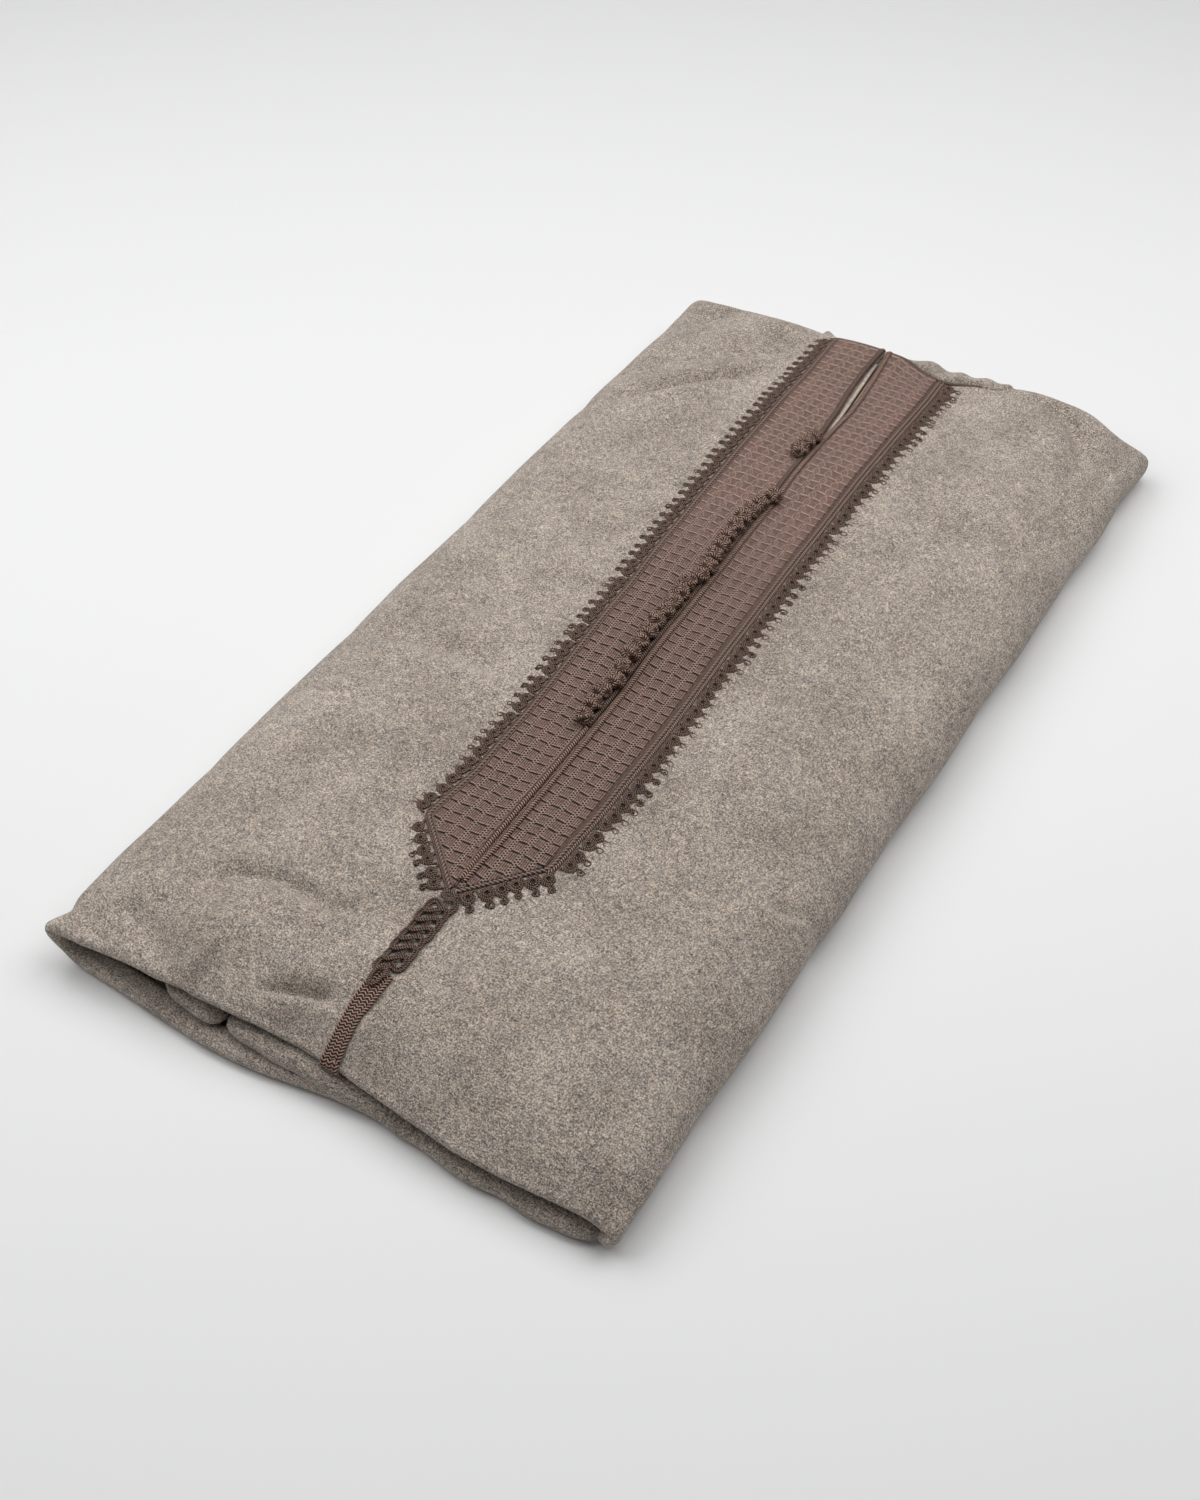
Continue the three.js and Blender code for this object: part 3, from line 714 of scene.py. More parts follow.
# Cords carry an attribute: turns of the plies so far, and the cosine and sine of the angle round.
def makeCord(name, look, brighten=1.0):
    material, tree, shader = newMaterial(name)
    twist = addNode(tree, "ShaderNodeAttribute", attribute_name="cordTwist").outputs["Vector"]
    split = addNode(tree, "ShaderNodeSeparateXYZ", {0: twist})
    phase = product(tree, split.outputs[0], 2 * math.tau)
    c, s = split.outputs[1], split.outputs[2]
    cosTwice = minus(tree, product(tree, c, c), product(tree, s, s))
    sinTwice = product(tree, product(tree, c, s), 2.0)
    ply = plus(
        tree, product(tree, cosTwice, mathOf(tree, "COSINE", phase)),
        product(tree, sinTwice, mathOf(tree, "SINE", phase)),
    )
    ply = timesPlus(tree, ply, 0.5, 0.5)
    place = objectPlace(tree)
    fray = noiseOf(tree, place, 1300.0, 3.0, 0.7)
    mixed = timesPlus(tree, minus(tree, fray, 0.5), 0.7, ply)
    # Painted shade and highlight: the colour runs from the dark of the ply grooves to the lit colour on the
    # ply crowns.
    stops = [
        (0.0, look["dark"]),
        (0.5, [k * brighten for k in look["middle"]]),
        (1.0, [k * brighten for k in look["lit"]]),
    ]
    colour = rampOf(tree, mixed, stops)
    normal = bumpOf(tree, timesPlus(tree, fray, 0.3, ply), 1.0, 0.0004)
    roughness = timesPlus(tree, ply, -0.15, 0.68)
    finishShader(tree, shader, colour, roughness, normal, look["sheen"], cloths["threadSheen"])
    return material


wool = makeWool("heatheredWool", woolLook)
# The folded layers are the same wool, darkened to 0.86 as painted shade.
shadedFoldedWool = makeWool("foldedWoolPaintedShade", woolLook, 0.86)
paleWool = makeWool("paleFacing", woolLook, 2.1, 0.35)
weave = makeWeave("wovenBraid", weaveLook)
darkCord = makeCord("twistedCord", cordLook)
pipingCord = makeCord("pipingCord", cordLook, 1.6)
knotCord = makeCord("knotCord", cordLook, 1.55)
# shadedCord is the cord darkened to a quarter, as painted shade: it makes the seam in the slit's groove and
# the cores in the loops' rings and curls.
shadedCord = makeCord("shadedCord", cordLook, 0.25)
smoothCord = makeCord("smoothCord", smoothLook)
print("materials:", len(bpy.data.materials))


def newTree(name, sockets):
    tree = bpy.data.node_groups.new(name, "GeometryNodeTree")
    tree.interface.new_socket("Geometry", in_out="INPUT", socket_type="NodeSocketGeometry")
    for label, kind, value in sockets:
        socket = tree.interface.new_socket(label, in_out="INPUT", socket_type=kind)
        if value is not None:
            socket.default_value = value
    tree.interface.new_socket("Geometry", in_out="OUTPUT", socket_type="NodeSocketGeometry")
    given = tree.nodes.new("NodeGroupInput")
    return tree, given.outputs


cordSockets = [
    ("Radius", "NodeSocketFloat", 0.0008),
    ("Spacing", "NodeSocketFloat", 0.0008),
    ("Ply Depth", "NodeSocketFloat", 0.0001),
    ("Ply Pitch", "NodeSocketFloat", 0.0025),
    ("Sides", "NodeSocketInt", 6),
    ("Material", "NodeSocketMaterial", None),
]


def storeOf(tree, geometry, name, value, kind="FLOAT_VECTOR"):
    inputs = {"Geometry": geometry, "Name": name, "Value": value}
    node = addNode(tree, "GeometryNodeStoreNamedAttribute", inputs, data_type=kind, domain="POINT")
    return node.outputs[0]


def namedOf(tree, name, kind="FLOAT_VECTOR"):
    return addNode(tree, "GeometryNodeInputNamedAttribute", {"Name": name}, data_type=kind).outputs[0]


# Curves become twisted two-ply cord.
def addCordSweep(tree, given, curves):
    spaced = {"Curve": curves, "Length": given["Spacing"]}
    resampled = addNode(tree, "GeometryNodeResampleCurve", spaced, mode="LENGTH")
    length = addNode(tree, "GeometryNodeSplineParameter").outputs["Length"]
    marked = storeOf(tree, resampled.outputs[0], "along", length, "FLOAT")
    ring = {"Resolution": given["Sides"], "Radius": given["Radius"]}
    circle = addNode(tree, "GeometryNodeCurvePrimitiveCircle", ring)
    position = addNode(tree, "GeometryNodeInputPosition").outputs[0]
    aroundUnit = addNode(tree, "ShaderNodeVectorMath", {0: position}, operation="NORMALIZE").outputs[0]
    profile = storeOf(tree, circle.outputs[0], "around", aroundUnit)
    sweep = {"Curve": marked, "Profile Curve": profile, "Fill Caps": True}
    swept = addNode(tree, "GeometryNodeCurveToMesh", sweep)
    along = namedOf(tree, "along", "FLOAT")
    split = addNode(tree, "ShaderNodeSeparateXYZ", {0: namedOf(tree, "around")})
    turns = mathOf(tree, "DIVIDE", along, given["Ply Pitch"])
    phase = product(tree, turns, 2 * math.tau)
    twiceAngle = product(tree, mathOf(tree, "ARCTAN2", split.outputs[1], split.outputs[0]), 2.0)
    ply = mathOf(tree, "COSINE", minus(tree, twiceAngle, phase))
    normal = addNode(tree, "GeometryNodeInputNormal").outputs[0]
    depth = {0: normal, "Scale": product(tree, ply, given["Ply Depth"])}
    reach = addNode(tree, "ShaderNodeVectorMath", depth, operation="SCALE").outputs[0]
    lobed = addNode(tree, "GeometryNodeSetPosition", {"Geometry": swept.outputs[0], "Offset": reach})
    joined = addNode(tree, "ShaderNodeCombineXYZ", {0: turns, 1: split.outputs[0], 2: split.outputs[1]})
    named = storeOf(tree, lobed.outputs[0], "cordTwist", joined.outputs[0])
    return addNode(tree, "GeometryNodeSetShadeSmooth", {"Geometry": named}).outputs[0]


def closeTree(tree, geometry, material):
    whole = addNode(tree, "GeometryNodeRealizeInstances", {"Geometry": geometry})
    dressed = addNode(tree, "GeometryNodeSetMaterial", {"Geometry": whole.outputs[0], "Material": material})
    output = tree.nodes.new("NodeGroupOutput")
    tree.links.new(dressed.outputs[0], output.inputs[0])


def makeCordTree():
    tree, given = newTree("sewnCord", cordSockets)
    curves = addNode(tree, "GeometryNodeMeshToCurve", {"Mesh": given["Geometry"]}).outputs[0]
    closeTree(tree, addCordSweep(tree, given, curves), given["Material"])
    return tree


# Motifs stand on points, turned to each point's own tangent and outward direction.
def makeMotifTree():
    sockets = [
        ("Motif", "NodeSocketObject", None),
        ("Seed", "NodeSocketInt", 1),
        ("Size Spread", "NodeSocketFloat", 0.08),
        ("Turn Spread", "NodeSocketFloat", 0.12),
    ]
    tree, given = newTree("corded motifs", sockets + cordSockets)
    raised = addNode(tree, "FunctionNodeAlignRotationToVector", {"Vector": namedOf(tree, "up")}, axis="Z")
    faced = addNode(
        tree, "FunctionNodeAlignRotationToVector",
        {"Rotation": raised.outputs[0], "Vector": namedOf(tree, "run")}, axis="X", pivot_axis="Z",
    )
    spread = product(tree, given["Turn Spread"], -1.0)
    wobble = addNode(
        tree, "FunctionNodeRandomValue", {2: spread, 3: given["Turn Spread"], "Seed": given["Seed"]}
    )
    small = minus(tree, 1.0, given["Size Spread"])
    large = plus(tree, 1.0, given["Size Spread"])
    seed = plus(tree, given["Seed"], 17.0)
    size = addNode(tree, "FunctionNodeRandomValue", {2: small, 3: large, "Seed": seed})
    angles = addNode(tree, "ShaderNodeCombineXYZ", {2: wobble.outputs[1]})
    extra = addNode(tree, "FunctionNodeEulerToRotation", {0: angles.outputs[0]}).outputs[0]
    turned = addNode(
        tree, "FunctionNodeRotateRotation", {0: faced.outputs[0], 1: extra}, rotation_space="LOCAL"
    )
    motif = addNode(tree, "GeometryNodeObjectInfo", {"Object": given["Motif"]}).outputs["Geometry"]
    placed = addNode(tree, "GeometryNodeInstanceOnPoints", {
        "Points": given["Geometry"], "Instance": motif,
        "Rotation": turned.outputs[0], "Scale": size.outputs[1],
    })
    real = addNode(tree, "GeometryNodeRealizeInstances", {"Geometry": placed.outputs[0]})
    curves = addNode(tree, "GeometryNodeMeshToCurve", {"Mesh": real.outputs[0]}).outputs[0]
    closeTree(tree, addCordSweep(tree, given, curves), given["Material"])
    return tree


cordTree = makeCordTree()
motifTree = makeMotifTree()


# Runs a tree on a piece and leaves a plain mesh behind.
def runTree(piece, tree, values):
    modifier = piece.modifiers.new("make", "NODES")
    modifier.node_group = tree
    for item in tree.interface.items_tree:
        if item.item_type == "SOCKET" and item.in_out == "INPUT" and item.name in values:
            modifier[item.identifier] = values[item.name]
    graph = bpy.context.evaluated_depsgraph_get()
    mesh = bpy.data.meshes.new_from_object(piece.evaluated_get(graph), depsgraph=graph)
    piece.modifiers.remove(modifier)
    piece.data = mesh
    for spare in ("along", "around", "up", "run"):
        if spare in mesh.attributes:
            mesh.attributes.remove(mesh.attributes[spare])
    return piece


# A mesh of bare lines, one for each run of points.
def linesMesh(name, runs, closed=False):
    points = np.concatenate(runs)
    edges = []
    start = 0
    for run in runs:
        count = len(run)
        edges += [(start + i, start + i + 1) for i in range(count - 1)]
        if closed:
            edges.append((start + count - 1, start))
        start += count
    return meshFrom(name, points, [], edges=edges)


def makeCordPiece(name, runs, radius, material, spacing=0.8, depth=0.12, sides=6, closed=False, pitch=2.5):
    piece = makeObject(name, linesMesh(name, runs, closed))
    return runTree(piece, cordTree, {
        "Radius": radius * mm, "Spacing": spacing * mm, "Ply Depth": depth * mm,
        "Ply Pitch": pitch * mm, "Sides": sides, "Material": material,
    })


def finishPiece(piece, slot, *nodes):
    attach(piece, "root")
    if nodes:
        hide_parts(*nodes)
    return piece


viewpoint = {
    "lens": 48.91,
    "sensorWidth": 36,
    "place": (0.42536, -0.77517, 0.84543),
    "tilt": 44.583,     # degrees up from straight down
    "turn": 31.345,
}


def makeCamera():
    data = bpy.data.cameras.new("camera")
    data.lens = viewpoint["lens"]
    data.sensor_width = viewpoint["sensorWidth"]
    camera = makeObject("camera", data)
    camera.location = viewpoint["place"]
    camera.rotation_euler = (math.radians(viewpoint["tilt"]), 0, math.radians(viewpoint["turn"]))
    bpy.context.scene.camera = camera


studio = {
    "floorSize": 12.0,
    "floorColour": (0.84, 0.84, 0.84),
    "skyColour": (0.98, 0.99, 1.0),
    "skyStrength": 0.14,
    "lightSize": 1.5,
    "lights": [     # name, place and power
        ("farLight", (-1.2, 0.9, 1.8), 7.4),
        ("overLight", (0.4, 0.5, 1.4), 15.4),
        ("nearLight", (-0.8, -0.3, 1.2), 11.2),
    ],
}


def addSoftLight(name, place, power):
    data = bpy.data.lights.new(name, "AREA")
    data.shape = "DISK"
    data.size = studio["lightSize"]
    data.energy = power
    light = makeObject(name, data)
    light.location = place
    light.rotation_euler = Vector(place).to_track_quat("Z", "Y").to_euler()


def makeStudio():
    material, tree, shader = newMaterial("paleFloor")
    place = objectPlace(tree)
    grain = noiseOf(tree, place, 3.0, 2.0)
    shade = [c * 0.985 for c in studio["floorColour"]]
    colour = mixColours(tree, grain, (*studio["floorColour"], 1), (*shade, 1))
    tree.links.new(colour, shader.inputs["Base Color"])
    shader.inputs["Roughness"].default_value = 0.7
    shader.inputs["Specular IOR Level"].default_value = 0.2
    half = studio["floorSize"] / 2 / mm
    corners = [(-half, -half, -0.3), (half, -half, -0.3), (half, half, -0.3), (-half, half, -0.3)]
    floor = makeObject("floor", meshFrom("floor", corners, [(0, 1, 2, 3)], material))
    world = bpy.data.worlds.new("softSky")
    world.use_nodes = True
    sky = world.node_tree.nodes["Background"]
    sky.inputs[0].default_value = (*studio["skyColour"], 1)
    sky.inputs[1].default_value = studio["skyStrength"]
    bpy.context.scene.world = world
    for name, place, power in studio["lights"]:
        addSoftLight(name, place, power)
    bpy.context.scene.view_settings.view_transform = "Standard"


makeCamera()
makeStudio()
print("camera and studio set")


# The wool front is one closed wall for each half.
frontGrid = {
    "topColumns": 84,       # evenly out from the seam
    "edgeColumns": 16,      # closing up towards the long side
    "sideColumns": 12,
    "flapColumns": 10,
    "rowStep": 2.35,
    "rollRows": 16,
    "rollStart": 300.0,
}


def frontEnd(x):
    radius = parcel["shoulderRadius"]
    overShoulder = farEdge(x) - radius + radius * math.radians(84)
    curve = parcel["neckCurve"]
    pastLeft = ease(parcel["neckLeftX"] + curve, parcel["neckLeftX"] - curve, x)
    pastRight = ease(parcel["neckRightX"] - curve, parcel["neckRightX"] + curve, x)
    return neckY + (overShoulder - neckY) * np.maximum(pastLeft, pastRight)


def makeFront(name, side):
    grid = frontGrid
    even = np.linspace(0, 0.88, grid["topColumns"] + 1)
    closing = 1 - 0.12 * (1 - np.linspace(0, 1, grid["edgeColumns"] + 1)[1:]) ** 2
    under = np.linspace(1, 2, grid["sideColumns"] + 1)[1:]
    flap = np.linspace(2, 3, grid["flapColumns"] + 1)[1:]
    stations = np.concatenate([even, closing, under, flap])
    arc = math.pi * parcel["foldRadius"]
    returned = turnStart - arc - np.linspace(parcel["foldReturn"], 0, 4)[:-1]
    curled = np.linspace(turnStart - arc, turnStart, 8)
    body = np.arange(turnStart + 1.2, grid["rollStart"], grid["rowStep"])
    straight = np.concatenate([returned, curled, body])
    paths = np.repeat(straight[:, None], len(stations), axis=1)
    x = sectionPoint(side, np.minimum(stations, 1), neckY)[..., 0]
    t = np.linspace(0, 1, grid["rollRows"] + 1)[1:, None]
    last = straight[-1]
    paths = np.concatenate([paths, last + (frontEnd(x)[None, :] - last) * t])
    paths = np.where(stations < 1, dipped(x[None, :], paths), paths)
    outer = frontPoint(side, stations[None, :], paths, halfCloth)
    inner = frontPoint(side, stations[None, :], paths, -halfCloth)
    return makeWall(name, outer, inner, wool)


for column, side in sides.items():
    front = finishPiece(makeFront("front" + column.title(), side), "wool", "front_" + column)
    print("front,", column + ":", len(front.data.polygons), "faces")


# The layers folded away inside are one core and the turned edges that show.
layers = {
    "inset": 4.8,          # under the front's middle
    "endInset": 6,         # more at each end, where the core closes
    "sideRound": 12,
    "backY": -308.0,       # the turned edges reach back to here
    "noseSteps": 13,
}

# Turned edges that show at the near end. Each has rows of x, bottom, top and nose along y.
turnedEdges = [
    {"rows": [(-106, 15, 19, -336), (-96, 12.5, 21, -342), (-84, 11.5, 21.5, -344.5),
              (-74, 10.5, 20.5, -345), (-67, 10, 19, -344), (-63.5, 10.5, 17, -341.5)], "seed": 3},
    {"rows": [(-62, 10.5, 17.5, -342), (-52, 9.5, 18.5, -344.5), (-36, 9, 18.5, -345), (-22, 8, 17.5, -345),
              (-5, 5, 16.5, -344.5), (10, 1.2, 15, -344), (24, 0.4, 13, -343), (45, 0.4, 10.5, -344),
              (68, 0.4, 9.5, -346.3), (89, 0.4, 9, -348.7), (109, 0.4, 9, -348.3), (129, 0.4, 9.5, -349.7),
              (147, 0.4, 10, -348.3), (161, 1.5, 9, -346)], "seed": 6},
    {"rows": [(-158, 12, 18, -330), (-140, 12, 18, -333), (-110, 11, 17, -333),
              (-90, 10, 16, -330)], "seed": 4},
    {"rows": [(-30, 9, 15, -332), (40, 9, 14, -334), (100, 8, 13.5, -336), (158, 8, 13, -336)], "seed": 5},
]


def layerRing(y, shrink, count=72):
    inset = layers["inset"]
    middle = parcel["shoulderLift"]
    reach = parcel["halfWidth"] - inset - layers["endInset"] * (1 - shrink)
    upper = np.linspace(-1, 1, count // 2)
    topX = upper * reach
    topZ = np.maximum(topHeight(upper * parcel["halfWidth"] * reach / (reach + 1), y) - inset, middle + 1)
    bottom = parcel["cloth"] + 0.5
    angle = np.linspace(0, math.pi / 2, 6)[1:]
    sideX = reach - layers["sideRound"] * (1 - np.cos(angle))
    sideZ = middle - (middle - bottom) * np.sin(angle)
    underX = np.linspace(sideX[-1], -sideX[-1], count // 2 - 8)[1:-1]
    x = np.concatenate([topX, sideX, underX, -sideX[::-1]])
    z = np.concatenate([topZ, sideZ, np.full(len(underX), bottom), sideZ[::-1]])
    z = middle + (z - middle) * shrink
    return np.stack([x, np.full(len(x), float(y)), z], axis=-1)


def layerCore():
    nearY = parcel["foldY"] + 2 * parcel["foldRadius"] + parcel["foldReturn"] + 14
    farY = parcel["shoulderY"] - parcel["shoulderRadius"] - 3
    stations = [(nearY, 0.35), (nearY + 1.5, 0.62), (nearY + 5, 0.86), (nearY + 12, 1)]
    stations += [(y, 1) for y in np.linspace(-296, 260, 70)]
    stations += [(farY - 22, 0.9), (farY - 8, 0.78), (farY + 2, 0.6), (farY + 10, 0.34), (farY + 16.5, 0.12)]
    rings = np.array([layerRing(y, shrink) for y, shrink in stations])
    swell = farEdge(rings[..., 0]) - parcel["shoulderY"]
    rings[..., 1] += swell * ease(farY - 30, farY, rings[..., 1])
    return closedTube(rings)


# A turned edge: a flat loop of cloth with a round nose towards the near end.
def layerEdge(edge):
    rng = np.random.default_rng(edge["seed"])
    rows = np.array(edge["rows"], dtype=float)
    left, right = rows[0, 0], rows[-1, 0]
    count = max(int((right - left) / 1.8), 12)
    t = np.linspace(0, 1, count)
    x = left + (right - left) * t
    table = [smoothed(np.interp(x, rows[:, 0], rows[:, k])) for k in (1, 2, 3)]
    taper = np.sqrt(np.clip(1 - np.abs(2 * t - 1) ** (0.12 * (right - left)), 0, 1))
    wave = sum(
        rng.uniform(0.15, 0.4) * np.sin(x * math.tau / rng.uniform(22, 70) + rng.uniform(0, 6))
        for _ in range(4)
    )
    half = (table[1] - table[0]) / 2 * (0.25 + 0.75 * taper)
    middle = (table[1] + table[0]) / 2
    noseY = table[2] + wave + half + 5 * (1 - taper)
    turn = np.linspace(-math.pi / 2, math.pi / 2, layers["noseSteps"])
    rings = []
    for k in range(count):
        y = np.concatenate([[layers["backY"]], noseY[k] - half[k] * np.cos(turn), [layers["backY"]]])
        z = middle[k] + half[k] * np.concatenate([[-1], np.sin(turn), [1]])
        rings.append(np.stack([np.full(len(y), x[k]), y, z], axis=-1))
    return closedTube(np.array(rings))


def smoothed(values, rounds=4):
    for _ in range(rounds):
        values = np.concatenate([values[:1], (values[:-2] + 2 * values[1:-1] + values[2:]) / 4, values[-1:]])
    return values


# Rings of points become a closed tube with flat ends.
def closedTube(rings):
    rows, count = rings.shape[:2]
    points = rings.reshape(-1, 3)
    faces = gridFaces(rows, count, wrap=True)
    flip = isInsideOut(points, faces)
    if flip:
        faces = faces[:, ::-1]
    faces = faces.tolist()
    first = list(range(count))
    final = list(range((rows - 1) * count, rows * count))
    faces.append(first if flip else first[::-1])
    faces.append(final[::-1] if flip else final)
    return points, faces


def makeFoldedLayers():
    points, faces = layerCore()
    points = [points]
    start = len(points[0])
    for edge in turnedEdges:
        more, moreFaces = layerEdge(edge)
        faces += [[i + start for i in face] for face in moreFaces]
        points.append(more)
        start += len(more)
    return makeObject("foldedLayers", meshFrom("foldedLayers", np.concatenate(points), faces, shadedFoldedWool))


foldedLayers = finishPiece(makeFoldedLayers(), "inner_wool", "folded_layers")
print("folded layers:", len(foldedLayers.data.polygons), "faces")


hood = {
    "tuck": 11.0,       # how far it reaches under the neck edge
    "rise": 1.8,        # over the front, past the neck edge
    # middle, half width and height of each
    "puffs": [(15, 9, 3.4), (36, 7, 3.2), (54, 7, 2.6), (70, 6, 1.8), (-67, 7, 3.0)],
}


def makeHoodBase():
    lower = -(parcel["cloth"] + 3 * parcel["seamGap"])
    radius = parcel["shoulderRadius"]
    end = float(farEdge(0)) - radius + radius * math.radians(80)
    rows = np.linspace(neckY - hood["tuck"], end, 24)[:, None]
    reach = parcel["neckCurve"] + 3
    x = np.linspace(parcel["neckLeftX"] - reach, parcel["neckRightX"] + reach, 130)[None, :]
    puff = hood["rise"] + 0.4 * np.sin(x / 7)
    for middle, width, height in hood["puffs"]:
        puff = puff + height * bump(x, middle, width)
    lift = lower + ease(0.0, 5.0, rows - frontEnd(x)) * (puff - lower - halfCloth)
    outer = onFront(x, rows, lift + halfCloth)
    inner = onFront(x, rows, lift - halfCloth)
    return makeWall("hoodBase", outer, inner, wool)


facing = {
    "thickness": 1.2,
    "reach": 12,        # out from the slit, each way, and past its end
    "neckTuck": 13,
    "grooveDepth": 4.2,
    "ridgeHeight": 1.5,
    "seamRadius": 0.6,
}


def makeSlitFacing():
    thickness = facing["thickness"]
    rows = np.linspace(parcel["slitEndY"] - facing["reach"], neckY - facing["neckTuck"], 60)
    across = np.linspace(-1, 1, 41)
    across = facing["reach"] * np.sign(across) * np.abs(across) ** 1.8
    lower = -(halfCloth + parcel["seamGap"] + thickness)
    seam = lookUp("seam", rows)[:, None]
    groove = facing["ridgeHeight"] * bump(np.abs(across), 1.9, 1.4)
    groove = groove - facing["grooveDepth"] * bump(across - 0.3, 0, 0.55)
    lift = lower + groove[None, :] * ease(parcel["slitEndY"] - 8, parcel["slitEndY"] + 14, rows)[:, None]
    x = seam + across[None, :]
    outer = onFront(x, rows[:, None], lift + thickness)
    inner = onFront(x, rows[:, None], lift)
    return makeWall("slitFacing", outer, inner, paleWool)


hoodBase = finishPiece(makeHoodBase(), "wool", "hood_base")
slitFacing = finishPiece(makeSlitFacing(), "pale_wool", "slit_facing")
# The seam at the bottom of the slit's groove is a dark cord: painted shade in the groove.
seamPath = np.arange(neckY - 15, parcel["slitEndY"], -1.5)
seamLine = onFront(lookUp("seam", seamPath) + 0.5, seamPath, 0.2)
finishPiece(makeCordPiece("facingSeam", [seamLine], facing["seamRadius"], shadedCord), "cord")


band = {
    "thickness": 1.5,
    "columns": 48,
    "rowStep": 1.9,
    "edgeRound": 1.3,
    "blockRise": 0.16,
    "surfaceLift": halfCloth + parcel["seamGap"],
}


def bandRows():
    chest = np.arange(cornerY, neckY - 0.5, band["rowStep"])
    taper = np.linspace(pointY + 1.5, cornerY, 20)[:-1]
    return np.concatenate([taper, chest, [neckY - 0.5]])


def makeBand(name, column, side):
    rows = bandRows()
    inner = lookUp("seam", rows) + side * (slitGap(rows) / 2 + 0.1)
    outer = lookUp(column, rows)
    t = np.linspace(0, 1, band["columns"] + 1)
    x = inner[:, None] + (outer - inner)[:, None] * t[None, :]
    across = np.abs(x - inner[:, None])
    fromEdge = np.minimum(across, np.abs(outer - inner)[:, None] - across)
    edge = 1 - np.clip(fromEdge / band["edgeRound"], 0, 1)
    straight = lookUp(column, np.maximum(rows, cornerY + 12))[:, None]
    inward = side * (straight - x)
    pitch = weaveLook["columnPitch"]
    phase = np.abs(((inward - weaveLook["firstColumn"]) / pitch + 0.5) % 1 - 0.5) * pitch
    relief = band["blockRise"] * (ease(2.9, 2.3, phase) - 0.5)
    thick = band["thickness"] + relief - 0.5 * edge**2
    base = band["surfaceLift"]
    top = onFront(x, rows[:, None], base + thick)
    under = onFront(x, rows[:, None], base)
    piece = makeWall(name, top, under, weave)
    mesh = piece.data
    flat = np.stack([inward, np.repeat(rows[:, None], x.shape[1], axis=1)], axis=-1).reshape(-1, 2)
    flat = np.concatenate([flat, flat]) * mm
    corners = np.empty(len(mesh.loops), dtype=np.int32)
    mesh.loops.foreach_get("vertex_index", corners)
    layer = mesh.uv_layers.new(name="weaveUv")
    layer.data.foreach_set("uv", flat[corners].astype(np.float32).ravel())
    return piece


for column, side in sides.items():
    strip = finishPiece(makeBand("band" + column.title(), column, side), "braid", "band_" + column)
    front = "front" + column.title()
    print("band,", column + ":", len(strip.data.polygons), "faces")


# Cords beside the bands: distance out from the band's edge along the chest and along the
# point, radius, ply pitch, look, and how far along the point they run.
piping = {
    "left": [(-0.2, -0.2, 0.5, 2.0, "plied", 1.0), (1.9, 1.3, 1.0, 5.0, "smooth", 1.0),
             (3.8, 3.0, 0.8, 2.4, "dark", 1.0)],
    "right": [(0.5, 0.3, 0.5, 2.0, "plied", 0.02), (2.4, 1.2, 1.0, 5.0, "smooth", 1.0),
              (4.9, 3.4, 1.0, -3.2, "plied", 0.04)],
    "spacing": 0.62,
    "sides": 7,
}

# Cords along the inner edges: distances from the edge at each y, radius and ply pitch.
innerCords = {
    # Beside the knots the left inner cords take the darker cord: painted shade from the knots.
    "knotShadeAbove": -97.0,     # beside the knots the left cords are darker
    "y": [-224, -193, -150, -96, -60, 0, 130, 330],
    "left": [([0.9, 3.0, 3.0, 3.0, 3.3, 3.4, 3.2, 3.2], 0.6, 2.2),
             ([-0.6, 0.3, 0.3, 0.4, 1.0, 1.1, 1.2, 1.2], 1.3, -3.4)],
    "right": [([0.4, 2.3, 2.3, 2.0, 1.3, 0.5, 0.5, 0.5], 0.6, -2.2),
              ([2.0, 4.4, 4.6, 4.2, 3.3, 2.4, 2.5, 2.4], 1.2, 3.4)],
}


def sideways(run):
    return np.stack([-run[:, 1], run[:, 0]], axis=-1)


# The band's outer edge with its corner rounded, as x and path, from the neck to the point.
def outerEdge(column, side, out, step=1.0, last=1.0):
    corner = np.array([float(lookUp(column, cornerY)), cornerY])
    point = np.array([float(lookUp(column, pointY)), pointY])
    down = np.arange(neckY - 1.0, cornerY, -step)
    edge = np.stack([lookUp(column, down), down], axis=-1)
    count = max(int(np.linalg.norm(point - corner) * last / step), 2)
    slope = corner + (point - corner) * np.linspace(0, last, count)[:, None]
    line = np.concatenate([edge, slope])
    for _ in range(6):
        line[1:-1] = (line[:-2] + 2 * line[1:-1] + line[2:]) / 4
    run = unit(np.gradient(line, axis=0))
    away = sideways(run) * side
    return line + away * out, run, away


def outerCord(side, column, out, outAtPoint, radius, last):
    line, _, away = outerEdge(column, side, 0.0, last=last)
    line = line + away * ((outAtPoint - out) * ease(cornerY + 5, cornerY - 6, line[:, 1]) + out)[:, None]
    onBand = out - radius < 0
    lift = halfCloth + radius * 0.9 + (band["thickness"] * 0.8 if onBand else 0.05)
    return onFront(line[:, 0], line[:, 1], lift)


def innerCord(side, asides, radius, top, bottom):
    path = np.arange(top, bottom, -1.0)
    aside = np.interp(path, innerCords["y"], asides)
    x = lookUp("seam", path) + side * (slitGap(path) / 2 + aside)
    return onFront(x, path, band["surfaceLift"] + band["thickness"] + radius * 0.55)


